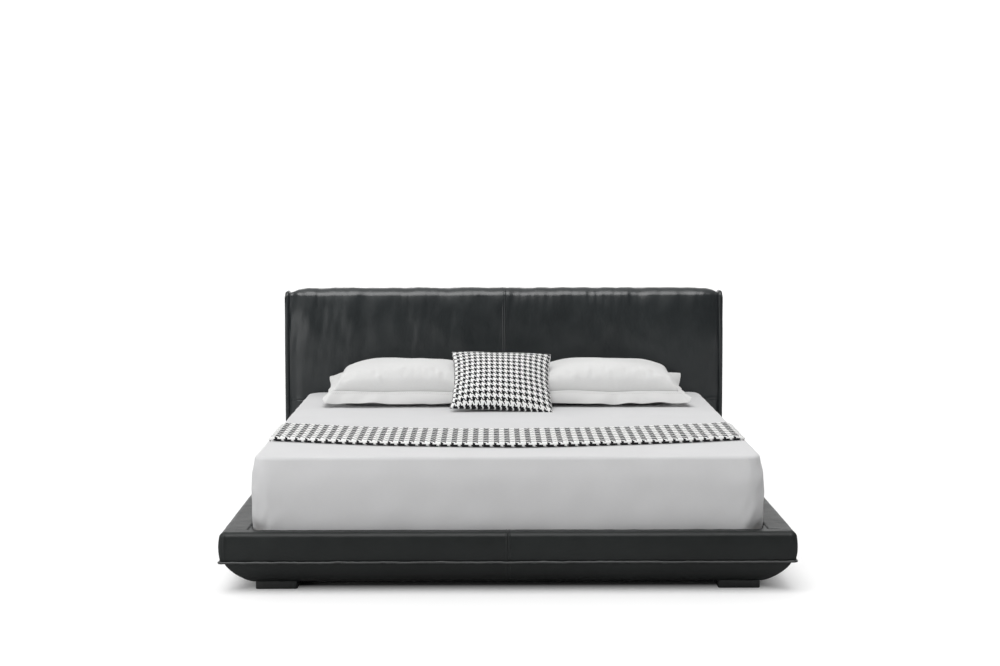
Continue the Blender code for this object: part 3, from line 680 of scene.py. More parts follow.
def upper_relief(profile, along, corner, seed, is_foot):
    """How far the upper leather stands proud of its CAD shape."""
    t = lengths_along(profile)[None, :]
    tucked = lengths_along([(FASCIA_IN + FASCIA_BOW, FASCIA_BOTTOM), *TUCK])[-1]
    from_welt = t[0, -1] - tucked - t
    on_lining = 1 - fade(t, 0.03, 0.055)
    shown = fade(from_welt, -0.006, 0.0)
    from_mitre = corner - corner_start(profile[:, 0])[None, :]
    waves = 0.0006 * ripple(along, t, 0.33, seed, stretch=2.0)
    waves = waves + 0.00035 * ripple(along, t, 0.07, seed + 1)
    raised = 0.0012 + waves * fade(from_mitre, 0.0, 0.030)
    raised = raised + puckers(along, from_welt, seed + 2, 0.0007, 0.045, 0.022)
    raised = raised + puckers(along, corner - CORNER_SEAM, seed + 3, 0.0006, 0.020, 0.018)
    raised = raised - 0.0010 * bell(corner - CORNER_SEAM, 0.0018)
    raised = raised + 0.0013 * bell(corner - CORNER_SEAM - 0.006, 0.0042)
    if is_foot:
        raised = raised + twin_seam(along)
        raised = raised + puckers(t, np.abs(along), seed + 4, 0.0004, 0.016, 0.014)
    else:
        from_join = along - SIDE_JOIN_Y
        raised = raised + 0.0007 * bell(np.abs(from_join) - 0.005, 0.003)
        raised = raised - 0.0012 * bell(from_join, 0.0014)
        raised = raised + puckers(t, from_join, seed + 4, 0.0005, 0.025, 0.020)
    return np.maximum(raised * (1 - on_lining) * shown, -0.0003)


def hull_relief(profile, along, seed, is_foot):
    """How far the lower leather stands proud of its CAD shape."""
    t = lengths_along(profile)[None, :]
    raised = 0.0010 + 0.0005 * ripple(along, t, 0.30, seed, stretch=1.6)
    raised = raised + puckers(along, t, seed + 1, 0.0006, 0.036, 0.020)
    if is_foot:
        raised = raised + 0.8 * twin_seam(along)
    held = fade(t, 0.0, 0.006)
    return raised * held


def sweep_centre(points, centre, axis):
    """The middle of a rail's section, carried along the rail."""
    middle = np.broadcast_to(centre, points.shape).copy()
    middle[..., axis] = points[..., axis]
    return middle


def cover_rail(name, points, raised, centre, axis, *stands_for):
    """Leather over a rail, standing for the CAD nodes named last."""
    cover = skin(name, points, raised, sweep_centre(points, centre, axis), RAIL_LEATHER)
    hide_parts(*stands_for)
    place_on(cover, "bed_frame")
    return cover


def build_foot_rail():
    """The foot rail's upper and lower leather."""
    near_ends = (-HALF_WIDTH + 0.02, 0.0, HALF_WIDTH - 0.02)
    columns = spaced(-HALF_WIDTH, HALF_WIDTH, 0.012, 0.0011, near_ends, 0.034)
    upper, lower = rail_profile(FOOT_LEDGE), hull_profile()
    points, corner, x = foot_grid(upper, columns)
    raised = upper_relief(upper, x, corner, 11, True)
    centre = np.array([0.0, FRONT_Y + FOOT_LEDGE / 2, 0.17])
    cover = cover_rail("foot_rail_cover", points, raised, centre, 0,
                       "foot_rail_leather", "foot_rail_foam")
    points, corner, x = foot_grid(lower, columns)
    raised = hull_relief(lower, x, 21, True)
    centre = np.array([0.0, FRONT_Y + 0.10, 0.16])
    panel = cover_rail("foot_rail_lower_cover", points, raised, centre, 0, "foot_rail_lower_leather")
    return cover, panel


def build_side_rail(name, side, seed):
    """A side rail's leather, mitred to the foot rail's."""
    rail = f"side_rail_{name}"
    columns = spaced(FRONT_Y, RAIL_END_Y, 0.012, 0.0013, (FRONT_Y + 0.02, SIDE_JOIN_Y), 0.034)
    upper, lower = rail_profile(SIDE_LEDGE), hull_profile()
    points, corner, y = side_grid(upper, columns, side, FOOT_LEDGE - 0.85 * LEDGE_ROUND)
    raised = upper_relief(upper, y, corner, seed, False)
    centre = np.array([side * (HALF_WIDTH - SIDE_LEDGE / 2), 0.0, 0.17])
    cover = cover_rail(rail + "_cover", points, raised, centre, 1, rail + "_leather", rail + "_foam")
    points, corner, y = side_grid(lower, columns, side, FOOT_LEDGE + SIDE_LEDGE)
    raised = hull_relief(lower, y, seed + 5, False)
    centre = np.array([side * (HALF_WIDTH - 0.10), 0.0, 0.16])
    cover_rail(rail + "_lower_cover", points, raised, centre, 1, rail + "_lower_leather")


def build_rails():
    """The leather of the three rails, then the stitches of the foot rail's seam."""
    cover, panel = build_foot_rail()
    build_side_rail("left", -1, 31)
    build_side_rail("right", 1, 41)
    rail_stitches(cover, panel)


def build_recess_corners():
    """Leather that fills the recess's two front corners, outside the mattress's round corners."""
    inner_x, inner_y = HALF_WIDTH - SIDE_LEDGE, FRONT_Y + FOOT_LEDGE
    reach, steps = GUSSET_ROUND + 2 * GUSSET_UNDER, 24
    round_centre = (inner_x - GUSSET_UNDER - GUSSET_ROUND, inner_y + 0.0022 + GUSSET_ROUND)
    leg = np.linspace(0, reach, steps // 2 + 1)
    square_x = np.concatenate([inner_x - leg[::-1], np.full(steps // 2, inner_x)])
    square_y = np.concatenate([np.full(steps // 2 + 1, inner_y), inner_y + leg[1:]])
    square = np.column_stack([square_x, square_y]) + (GUSSET_UNDER, -GUSSET_UNDER)
    curve = np.array(arc(round_centre, GUSSET_ROUND, -90, 0, steps))
    share = np.linspace(0, 1, 9)[:, None, None]
    flat = square[None] * (1 - share) + curve[None] * share
    drop = 0.0014 + 0.0014 * share + 0.022 * fade(share, 0.75, 1.25)
    height = np.broadcast_to(LEDGE_TOP - drop, flat[..., :1].shape)
    for name, side in (("left", -1), ("right", 1)):
        points = np.concatenate([flat * (side, 1), height], axis=2)
        centre = np.array([side * inner_x, inner_y, -1.0])
        level = np.zeros(points.shape[:2])
        gusset = skin(f"recess_corner_{name}", points, level, centre, RAIL_LEATHER)
        place_on(gusset, "bed_frame")


def rail_stitches(cover, panel):
    """Thread along the middle seam of the foot rail's face, ledge and lower panel."""
    front, over, under = FRONT_Y - 0.05, 0.3, 0.0
    for name, leather_on, aim, start, end in (
            ("foot_rail_seam_thread", cover, (0, 1, 0),
             (front, LEDGE_TOP - 0.006), (front, FASCIA_BOTTOM + 0.004)),
            ("foot_ledge_seam_thread", cover, (0, 0, -1),
             (FRONT_Y + 0.016, over), (FRONT_Y + FOOT_LEDGE - 0.008, over)),
            ("foot_rail_lower_seam_thread", panel, (0, 0, 1),
             (FRONT_Y + 0.014, under), (FRONT_Y + 0.112, under))):
        lines = [[(x, *start), (x, *end)] for x in (-SEAM_STITCH, SEAM_STITCH)]
        stitches(name, lines, aim, leather_on)


def build_welt():
    """Piping between the upper and lower leather, wavy, flaring a little at the front corners."""
    outer, ahead = -HALF_WIDTH + WELT_IN, FRONT_Y + WELT_IN
    side_y = np.arange(RAIL_END_Y - 0.002, ahead + WELT_TURN, -0.006)
    left = [(outer, y) for y in side_y]
    left += arc((outer + WELT_TURN, ahead + WELT_TURN), WELT_TURN, 180, 270, 8)
    front = [(x, ahead) for x in np.arange(outer + WELT_TURN, -outer - WELT_TURN, 0.005)]
    right = [(-x, y) for x, y in left[::-1]]
    flat = np.array(left + front + right)
    keep = np.concatenate([[True], np.linalg.norm(np.diff(flat, axis=0), axis=1) > 1e-4])
    flat = flat[keep]
    t = lengths_along(flat)
    corners = [np.array([side * outer, ahead]) for side in (-1, 1)]
    near = np.min([np.linalg.norm(flat - c, axis=1) for c in corners], axis=0)
    swing = 0.0009 * ripple(t, 0 * t, 0.085, 51) + 0.0005 * ripple(t, 0 * t, 0.022, 52)
    flare = 0.0008 * bell(near, 0.016)
    push = np.clip(swing, -0.0006, 0.002) + flare
    flat = flat + outward_of(flat) * push[:, None]
    z = WELT_Z + 0.0010 * ripple(t, 0 * t, 0.11, 53) + 0.0005 * ripple(t, 0 * t, 0.03, 54)
    path = np.column_stack([flat, z])
    wide = WELT_RADIUS * (0.86 + 0.10 * ripple(t, 0 * t, 0.04, 55) + 0.25 * bell(near, 0.02))
    welt = tube("base_piping", path, np.clip(wide, 0.0030, 0.0052), PIPING_LEATHER_PAINTED_HIGHLIGHT)
    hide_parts("base_welt")
    place_on(welt, "bed_frame")


def outward_of(flat):
    """Away from the bed's middle, square to its outside, for points (x, y) near the outside."""
    from_side = HALF_WIDTH - np.abs(flat[:, 0])
    from_front = flat[:, 1] - FRONT_Y
    weight_side = fade(from_front - from_side, -0.008, 0.008)
    x = np.sign(flat[:, 0]) * weight_side
    y = -(1 - weight_side)
    away = np.stack([x, y], axis=1)
    return away / np.linalg.norm(away, axis=1, keepdims=True)


# ---------------------------------------------------------------- feet

def rounded_outline(half_x, half_y, radius, steps=6):
    """Points (x, y) round a rectangle with round corners."""
    outline = []
    for quarter, (sx, sy) in enumerate(((1, 1), (-1, 1), (-1, -1), (1, -1))):
        centre = (sx * (half_x - radius), sy * (half_y - radius))
        outline += arc(centre, radius, 90 * quarter, 90 * quarter + 90, steps)
    return np.array(outline)


def build_feet():
    """Square lacquered blocks with small round corners and eased edges."""
    for name in ("foot_front_left", "foot_front_right", "foot_rear_left", "foot_rear_right"):
        low, high = low_high(name)
        middle, half = (low + high) / 2, (high - low) / 2
        eased = [(low[2] + FOOT_EASE - z, FOOT_EASE - inset)
                 for inset, z in arc((0, 0), FOOT_EASE, 0, 90, 4)[::-1]]
        levels = eased + [(z, 0.0) for z in np.linspace(low[2] + FOOT_EASE, high[2], 8)[1:]]
        rings = []
        for z, inset in levels:
            outline = rounded_outline(half[0] - inset, half[1] - inset, FOOT_CORNER - inset)
            rings.append(np.column_stack([outline + middle[:2], np.full(len(outline), z)]))
        points = np.array(rings)
        rows, columns = points.shape[:2]
        faces = grid_faces(rows, columns, closed=True)
        close_ends(faces, rows, columns)
        foot = make_object(name + "_block", points.reshape(-1, 3), faces, FOOT_LACQUER)
        foot.data.set_sharp_from_angle(angle=math.radians(50))
        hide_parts(name)
        place_on(foot, "bed_frame")


# ---------------------------------------------------------------- headboard

def head_profile(heights, inward):
    """(y, z) up the headboard's front, over its top and a little way down its back, moved in by
    inward."""
    front, top, back = HEADBOARD_LOW[1], HEADBOARD_HIGH[2], HEADBOARD_HIGH[1]
    centre = (front + HEAD_ROUND, top - HEAD_ROUND)
    points = [(front + inward, z) for z in heights]
    points += [(y, z) for y, z in arc(centre, HEAD_ROUND - inward, 180, 90, 16)[1:]]
    points += [(y, top - inward) for y in np.linspace(centre[0], back - HEAD_BACK_ROUND, 7)[1:]]
    corner = (back - HEAD_BACK_ROUND, top - inward - HEAD_BACK_ROUND)
    points += [(y, z) for y, z in arc(corner, HEAD_BACK_ROUND, 90, 0, 4)[1:]]
    points += [(back, z) for z in np.linspace(corner[1], HEAD_BACK_Z, 4)[1:]]
    points = np.array(points)
    face_share = fade(back - points[:, 0], 0.0, back - front)
    points[:, 0] += HEAD_LEAN * np.exp(-(top - points[:, 1]) / 0.110) * face_share
    return points


def head_relief(x, t, z, seam_t):
    """How far the headboard's front leather stands proud of its CAD shape."""
    raised = 0.0018 + 0.0020 * ripple(x, t, 0.30, 61, stretch=0.45)
    raised = raised + 0.0014 * ripple(x, t, 0.17, 67, stretch=0.25) * fade(z, 0.45, 0.80)
    raised = raised + 0.0003 * ripple(x, t, 0.075, 62, stretch=0.45)
    raised = raised + twin_seam(x) + puckers(t, np.abs(x), 63, 0.0005, 0.020, 0.018)
    across = np.abs(t - seam_t)
    raised = raised - 0.0014 * bell(across, 0.0016) + 0.0010 * bell(across - 0.006, 0.005)
    raised = raised + puckers(x, across, 64, 0.0005, 0.030, 0.020)
    near_top = bell(t - t.max() + 0.10 + HEADBOARD_HIGH[2] - HEAD_BACK_Z, 0.035)
    gathers = 0.0013 * ripple(x, 0 * t, 0.034, 65) + 0.0007 * ripple(x, 0 * t, 0.015, 66)
    raised = raised + near_top * gathers
    return np.clip(raised, -0.0018, 0.0048)


def flat_behind(points):
    """1 over the headboard's front, 0 where its leather turns down over the back."""
    return fade(HEADBOARD_HIGH[1] - points[..., 1], 0.001, 0.014)


def head_centre(x):
    """A point inside the headboard, at x."""
    return np.array([x, (HEADBOARD_LOW[1] + HEADBOARD_HIGH[1]) / 2 + 0.03, 0.40])


def build_headboard():
    """Padded front panel, rolled over the top, and a boxing strip round each side."""
    edge, straight_top = HALF_WIDTH - HEAD_BOXING, HEADBOARD_HIGH[2] - HEAD_ROUND
    heights = spaced(HEAD_START_Z, straight_top, 0.014, 0.0015, (HEAD_SEAM_Z,), 0.05)
    columns = spaced(-edge, edge, 0.012, 0.0012, (-edge, 0.0, edge), 0.040)
    from_edge = edge - np.abs(columns)
    inward = HEAD_VALLEY * bell(from_edge, 0.030) + HEAD_FALL * np.exp(-from_edge / 0.07)
    rows = np.array([head_profile(heights, d) for d in inward])
    x = np.broadcast_to(columns[:, None], rows.shape[:2])
    points = np.stack([x, rows[..., 0], rows[..., 1]], axis=2)
    middle = rows[len(rows) // 2]
    t = np.broadcast_to(lengths_along(middle)[None, :], x.shape)
    raised = head_relief(x, t, points[..., 2], HEAD_SEAM_Z - HEAD_START_Z)
    raised = raised * fade(edge - np.abs(x), 0.0, 0.010) * flat_behind(points)
    panel = skin("headboard_cover", points, raised, head_centre(0.0), HEAD_LEATHER)
    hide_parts("headboard_leather", "headboard_foam")
    place_on(panel, "bed_frame")
    for name, side in (("left", -1), ("right", 1)):
        build_head_boxing(name, side, edge, heights)
    head_stitches(panel)


def build_head_boxing(name, side, edge, heights):
    """Strip that closes one side of the headboard: a soft bead at the seam, then the flat side."""
    seam = HEAD_VALLEY + HEAD_FALL
    sweep = [(-0.0006, seam + 0.0010), (0.0035, 0.0148), (0.008, 0.0115), (0.013, 0.0112),
             (0.0175, 0.0134), (0.0205, 0.0175), (0.0216, 0.0235), (0.0220, 0.0300), (0.0220, 0.0395)]
    sweep = resample(sweep, 0.0025)
    rings = []
    for out, inward in sweep:
        path = head_profile(heights, inward)
        rings.append(np.column_stack([np.full(len(path), side * (edge + out)), path]))
    points = np.array(rings)
    t = np.broadcast_to(lengths_along(points[0])[None, :], points.shape[:2])
    across = np.broadcast_to(sweep[:, :1], t.shape)
    soft = fade(across, 0.0, 0.006) * (1 - fade(across, 0.016, 0.0215))
    waves = 0.0012 * ripple(t, across, 0.12, 71 + side) + 0.0006 * ripple(t, across, 0.03, 73 + side)
    raised = soft * waves * flat_behind(points)
    centre = head_centre(side * (edge - 0.05))
    strip = skin(f"headboard_boxing_{name}", points, raised, centre, HEAD_LEATHER)
    z = np.linspace(HEAD_START_Z, HEADBOARD_HIGH[2] - HEAD_PLATE_IN, 60)
    y = np.linspace(HEADBOARD_LOW[1] + HEAD_PLATE_IN, HEADBOARD_HIGH[1], 8)
    plate = np.stack([np.full((60, 8), side * HALF_WIDTH), *np.meshgrid(y, z)], axis=2)
    wave = 0.0010 * ripple(plate[..., 2], plate[..., 1], 0.15, 75 + side) - 0.0006
    wave = wave * np.sin(np.linspace(0, math.pi, 8))[None, :]
    flat = skin(f"headboard_side_{name}", plate, wave, centre, HEAD_LEATHER)
    for piece in (strip, flat):
        place_on(piece, "bed_frame")


def head_stitches(panel):
    """Thread beside the middle seam and above the seam across."""
    front, over = HEADBOARD_LOW[1] - 0.05, HEADBOARD_HIGH[2] + 0.05
    top = HEADBOARD_HIGH[2] - 0.012
    upright = [[(s * SEAM_STITCH, front, 0.06), (s * SEAM_STITCH, front, top)] for s in (-1, 1)]
    edge = HALF_WIDTH - HEAD_BOXING - 0.010
    level = [[(-edge, front, HEAD_SEAM_Z + 0.006), (edge, front, HEAD_SEAM_Z + 0.006)]]
    stitches("headboard_seam_thread", upright + level, (0, 1, 0), panel)
    across = [[(s * SEAM_STITCH, HEADBOARD_LOW[1] + 0.016, over), (s * SEAM_STITCH, HEADBOARD_HIGH[1], over)]
              for s in (-1, 1)]
    stitches("headboard_top_seam_thread", across, (0, 0, -1), panel)


# ---------------------------------------------------------------- mattress and fitted sheet

def slab_ring(half_x, half_y, corner, step=0.016, corner_steps=14):
    """Points (x, y) round a rectangle with round corners, and how near each is to a corner."""
    ring, near = [], []
    for quarter, (sx, sy) in enumerate(((1, 1), (-1, 1), (-1, -1), (1, -1))):
        centre = (sx * (half_x - corner), sy * (half_y - corner))
        for i in range(corner_steps + 1):
            a = math.pi / 2 * (quarter + i / corner_steps)
            ring.append((centre[0] + corner * math.cos(a), centre[1] + corner * math.sin(a)))
            near.append(1.0)
        across = quarter in (0, 2)
        run = 2 * ((half_x if across else half_y) - corner)
        full = MATTRESS_HALF_X if across else MATTRESS_HALF_Y
        count = round(2 * (full - MATTRESS_CORNER) / step)
        for i in range(1, count):
            share = i / count
            a = math.pi / 2 * (quarter + 1)
            start = (centre[0] + corner * math.cos(a), centre[1] + corner * math.sin(a))
            along = (-math.sin(a), math.cos(a))
            ring.append((start[0] + along[0] * run * share, start[1] + along[1] * run * share))
            near.append(math.exp(-(min(share, 1 - share) * run / 0.10) ** 2))
    return np.array(ring), np.array(near)


def slab_section(edge_top, edge_bottom, height, lip, inset_steps):
    """(inset, z) from under the slab, out round its lower edge, up, over and to the middle."""
    points = [(edge_bottom + i, 0.0) for i in np.linspace(lip, 0.0, 8)[:-1]]
    points += [(edge_bottom + u, edge_bottom + v)
               for u, v in arc((0, 0), edge_bottom, 270, 180, 5)]
    points += [(0.0, z) for z in np.linspace(edge_bottom, height - edge_top, 20)[1:-1]]
    points += [(edge_top + u, height - edge_top + v) for u, v in arc((0, 0), edge_top, 180, 90, 8)]
    points += [(edge_top + i, height) for i in inset_steps]
    return np.array(points)


def build_slab(name, finish, low, high, section, relief, thickness, centre_y):
    """A soft block from rings; the last ring closes its top."""
    half_x, half_y = (high[0] - low[0]) / 2, (high[1] - low[1]) / 2
    rings = []
    for inset, z in section:
        corner = max(MATTRESS_CORNER - 0.5 * inset, 0.03) if inset < 0.09 else 0.03
        ring, near = slab_ring(half_x - inset, half_y - inset, corner)
        ring = ring + relief(ring, z, near, inset)[:, None] * ring_out(ring)
        rings.append(np.column_stack([ring[:, 0], ring[:, 1] + centre_y, np.full(len(ring), low[2] + z)]))
    grid = np.array(rings)
    rows, columns = grid.shape[:2]
    grid[..., 2] += top_relief(grid, high[2])
    faces = grid_faces(rows, columns, closed=True)
    faces.append([(rows - 1) * columns + i for i in range(columns)])
    piece = make_object(name, grid.reshape(-1, 3), faces, finish, slab_uv(grid, high[2]).reshape(-1, 2))
    if thickness:
        thicken(piece, thickness)
    return piece


def ring_out(ring):
    """Outward directions of a rounded rectangle's points."""
    ahead = np.roll(ring, -1, axis=0) - np.roll(ring, 1, axis=0)
    out = np.stack([ahead[:, 1], -ahead[:, 0]], axis=1)
    return out / np.maximum(np.linalg.norm(out, axis=1, keepdims=True), 1e-9)


def top_relief(grid, top):
    """Faint long waves of the cloth on the upper face."""
    on_top = fade(grid[..., 2], top - 0.004, top)
    wave = 0.0009 * ripple(grid[..., 0], grid[..., 1], 0.42, 81, stretch=1.6)
    return on_top * (wave - 0.0009)


def slab_uv(grid, top):
    """Cloth coordinates: X and Y on top, and round the edge and down on the sides."""
    x, y, z = grid[..., 0], grid[..., 1], grid[..., 2]
    fall = top - z
    beside = np.abs(x) / np.abs(x).max() > np.abs(y - y.mean()) / np.abs(y - y.mean()).max()
    u = np.where(beside, x + np.sign(x) * fall, x)
    v = np.where(beside, y, y + np.sign(y - y.mean()) * fall)
    return np.stack([u, v], axis=2)


def corner_tip(ring):
    """1 at the middle of each round corner of the mattress, 0 along its straight sides."""
    away = (np.abs(ring).max(axis=0) - np.abs(ring)) / MATTRESS_CORNER
    return 2 * np.prod(np.clip(1 - away, 0, 1), axis=1)


def behind(ring):
    """How far the mattress and its sheet are pulled in at the head end, clear of the headboard."""
    return HEAD_END_IN * fade(ring[:, 1], 0.90, 0.96)


def sheet_relief(ring, z, near, inset):
    """The sheet's sides swell a little and pull towards the corners."""
    height = SHEET_HIGH[2] - SHEET_LOW[2]
    along = np.where(np.abs(ring[:, 0]) > np.abs(ring[:, 1]), ring[:, 1], ring[:, 0])
    swell, corner = -0.010, 0.0
    if inset < 0.02:
        shoulder = 0.010 * math.exp(-((height - z) / 0.050) ** 2)
        swell = 0.0045 * math.sin(math.pi * min(max(z / height, 0), 1)) - shoulder
        corner = SHEET_TUCK * corner_tip(ring) * math.exp(-max(z - 0.032, 0.0) / 0.018)
    raised = swell - 0.001 - corner - behind(ring)
    if inset < 0.03:
        raised = raised + 0.0012 * ripple(along, z + 0 * along, 0.16, 82)
        raised = raised + 0.0016 * near * ripple(along, z * 0.5 + 0 * along, 0.045, 83, stretch=0.6)
        raised = raised + 0.0018 * ripple(along, 0 * along, 0.030, 84) * math.exp(-(z / 0.035) ** 2)
    return raised


def quilt_relief(ring, z, near, inset):
    """The mattress's quilted sides, a little inside the sheet all the way up."""
    height = SHEET_HIGH[2] - SHEET_LOW[2]
    shoulder = 0.011 * math.exp(-((height - z) / 0.050) ** 2)
    corner = SHEET_TUCK * corner_tip(ring) * math.exp(-max(z - 0.028, 0.0) / 0.018)
    return -0.0065 - shoulder - corner - behind(ring) + 0.0016 * np.abs(np.sin(z * math.pi / 0.07))


def build_mattress():
    """The fitted sheet, and the quilted mattress in it."""
    low, high = SHEET_LOW, SHEET_HIGH
    height = high[2] - low[2]
    centre_y = (low[1] + high[1]) / 2
    insets = np.concatenate([np.arange(0.012, 0.10, 0.014), np.arange(0.11, 0.86, 0.030)])
    section = slab_section(0.014, 0.016, height, 0.100, insets)
    sheet = build_slab("fitted_sheet_cloth", SHEET_COTTON, low, high, section, sheet_relief, 0.0016,
                       centre_y)
    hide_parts("fitted_sheet")
    place_on(sheet, "mattress")
    low, high = low_high("mattress")
    high = high - (0, 0, 0.0012)
    section = slab_section(0.030, 0.020, high[2] - low[2], 0.80, np.arange(0.02, 0.86, 0.045))
    ticking = build_slab("mattress_ticking_cover", TICKING, low, high, section, quilt_relief, 0.0,
                         centre_y)
    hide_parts("mattress")
    place_on(ticking, "mattress")


# ---------------------------------------------------------------- runner

def runner_section(front, back):
    """(y, z) along the folded cloth, from its lowest layer to its innermost."""
    pitch = RUNNER_PITCH
    path = [(back, 0.0)]
    path += [(y, 0.0) for y in np.linspace(back, front + 2.5 * pitch, 26)[1:]]
    path += arc((front + 1.5 * pitch, 1.5 * pitch), 1.5 * pitch, 270, 90, 8)
    path += [(y, 3 * pitch) for y in np.linspace(front + 2.5 * pitch, back - 2 * pitch, 26)]
    path += arc((back - 1.6 * pitch, 2.5 * pitch), 0.5 * pitch, 90, -90, 6)
    path += [(y, 2 * pitch) for y in np.linspace(back - 2.4 * pitch, front + 3.2 * pitch, 24)]
    path += arc((front + 2.6 * pitch, 1.5 * pitch), 0.5 * pitch, 90, 270, 6)
    path += [(y, pitch) for y in np.linspace(front + 3.4 * pitch, back - 0.004, 24)]
    return np.array(path)


def build_runner():
    """A throw folded twice along its length, laid across the bed with its ends turned down."""
    front, back = RUNNER_LOW[1] + 0.004, RUNNER_LOW[1] + RUNNER_WIDE - 0.004
    path = runner_section(front, back)
    reach = RUNNER_TURN_X + math.radians(36) * 0.036
    columns = spaced(-reach, reach, 0.022, 0.005, (-0.89, 0.89), 0.06)
    t = lengths_along(path)
    x = np.broadcast_to(columns[:, None], (len(columns), len(path)))
    y = np.broadcast_to(path[None, :, 0], x.shape)
    level = np.broadcast_to(path[None, :, 1], x.shape)
    share = level / (3 * RUNNER_PITCH)
    bow = 0.0075 * ripple(x, 0 * x, 0.9, 91, waves=4) + 0.0012 * ripple(x, 0 * x, 0.12, 92)
    front_bow = bow * (1 - fade(y, front, front + 0.12))
    back_bow = 0.004 * ripple(x, 0 * x, 0.8, 93, waves=4) * fade(y, back - 0.1, back)
    y = y + RUNNER_ARC * np.minimum(np.abs(x), 0.9) ** 2 + front_bow + back_bow
    lift = 0.0007 * share * (1 + ripple(x, y, 0.10, 94)) + 0.0010 * share * (1 + ripple(x, y, 0.35, 95))
    height = RUNNER_SEAT + 0.0009 + level + lift
    points = bend_down(x, y, height)
    uv = np.stack([x + 0.9, np.broadcast_to(t[None, :], x.shape)], axis=2)
    below = np.array([0.0, 0.0, -9.0])
    cloth = skin("bed_runner_cloth", points, np.zeros(x.shape), below, RUNNER_CLOTH, 0.0017, 0.0, uv)
    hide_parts("bed_runner")
    place_on(cloth, "runner")


def bend_down(x, y, height):
    """Lay (x, y, height) over the bed, turning the ends down over the mattress's rolled edges."""
    past = np.maximum(np.abs(x) - RUNNER_TURN_X, 0)
    radius = 0.031 + height - SHEET_TOP
    angle = np.minimum(past / 0.033, math.radians(56))
    out = radius * np.sin(angle)
    down = radius * (1 - np.cos(angle))
    new_x = np.where(past > 0, np.sign(x) * (RUNNER_TURN_X + out), x)
    return np.stack([new_x, y, height - down], axis=2)


# ---------------------------------------------------------------- pillows and cushion

def case_mesh(width, length, cell):
    """Two flat panels sewn together all round: points, faces, each point's side (1 above, -1 below),
    and the seam's points in order."""
    nx, ny = round(width / cell) + 1, round(length / cell) + 1
    steps_x, steps_y = np.linspace(-width / 2, width / 2, nx), np.linspace(-length / 2, length / 2, ny)
    x, y = np.meshgrid(steps_x, steps_y)
    border = np.ones((ny, nx), bool)
    border[1:-1, 1:-1] = False
    upper = np.arange(nx * ny).reshape(ny, nx)
    lower = upper.copy()
    lower[~border] = nx * ny + np.arange((~border).sum())
    points = np.zeros((nx * ny + int((~border).sum()), 3))
    points[upper] = np.stack([x, y, 0 * x], axis=2)
    points[lower] = np.stack([x, y, 0 * x], axis=2)
    side = np.ones(len(points))
    side[nx * ny:] = -1
    side[upper[border]] = 0
    faces = []
    for index, flip in ((upper, False), (lower, True)):
        for i in range(ny - 1):
            for j in range(nx - 1):
                quad = [index[i, j], index[i, j + 1], index[i + 1, j + 1], index[i + 1, j]]
                faces.append([int(q) for q in (quad[::-1] if flip else quad)])
    seam = list(upper[0, :-1]) + list(upper[:-1, -1]) + list(upper[-1, :0:-1]) + list(upper[:0:-1, 0])
    return points, faces, side, np.array(seam)


def drawn_in(flat, half, scale, pull, seed, wave=0.002):
    """Where the case lies once it is filled: smaller, its sides pulled in between the corners."""
    x, y = flat[:, 0] / half[0], flat[:, 1] / half[1]
    new_x = flat[:, 0] * scale[0] * (1 - pull * (1 - y ** 2))
    new_y = flat[:, 1] * scale[1] * (1 - pull * (1 - x ** 2))
    new_x = new_x + wave * x * ripple(flat[:, 1], 0 * x, 0.09, seed)
    new_y = new_y + wave * y * ripple(flat[:, 0], 0 * x, 0.09, seed + 1)
    return np.stack([new_x, new_y], axis=1)


FILLING = {
    "quality": 7, "mass": 0.15, "tension_stiffness": 25.0, "compression_stiffness": 12.0,
    "shear_stiffness": 5.0, "bending_stiffness": 0.12, "tension_damping": 12.0, "air_damping": 4.0,
    "vertex_group_mass": "seam", "use_pressure": True,
}


def inflate(name, start, flat, faces, seam, pressure):
    """Fill a sewn case with Blender's cloth, its seam held, and return where its points end."""
    scene = bpy.context.scene
    case = make_object(name, start, faces, TICKING)
    case.shape_key_add(name="Basis")
    cut = case.shape_key_add(name="cut")
    cut.data.foreach_set("co", flat.ravel())
    held = case.vertex_groups.new(name="seam")
    held.add([int(i) for i in seam], 1.0, "REPLACE")
    cloth = case.modifiers.new("cloth", "CLOTH")
    for key, value in FILLING.items():
        setattr(cloth.settings, key, value)
    cloth.settings.rest_shape_key = cut
    cloth.settings.uniform_pressure_force = pressure
    cloth.settings.effector_weights.gravity = 0.0
    cloth.collision_settings.use_collision = False
    cloth.point_cache.frame_end = PILLOW_FRAMES
    for frame_number in range(1, PILLOW_FRAMES + 1):
        scene.frame_set(frame_number)
    done = case.evaluated_get(bpy.context.evaluated_depsgraph_get()).data
    ended = np.zeros(len(done.vertices) * 3)
    done.vertices.foreach_get("co", ended)
    scene.frame_set(1)
    mesh = case.data
    bpy.data.objects.remove(case, do_unlink=True)
    bpy.data.meshes.remove(mesh)
    return ended.reshape(-1, 3)


def filled_case(name, size, cell, cut_scale, scale, pull, height, seed, pressure):
    """A filled case about its own middle: points, faces, flat cloth places, seam and sides."""
    flat, faces, side, seam = case_mesh(*size, cell)
    half = (size[0] / 2, size[1] / 2)
    x, y = flat[:, 0] / half[0], flat[:, 1] / half[1]
    start = flat.copy()
    start[:, :2] = drawn_in(flat, half, scale, pull, seed)
    bulge = np.sqrt(np.clip(1 - np.abs(x) ** 2.6, 0, 1) * np.clip(1 - np.abs(y) ** 2.4, 0, 1))
    lumps = 1 + 0.02 * ripple(flat[:, 0], flat[:, 1], 0.15, seed + 2)
    start[:, 2] = side * bulge * height * 0.8 * lumps
    ended = inflate(name, start, flat * cut_scale, faces, seam, pressure)
    ended[:, 2] *= height / max(ended[:, 2].max(), 1e-6)
    return ended, faces, flat, seam, side


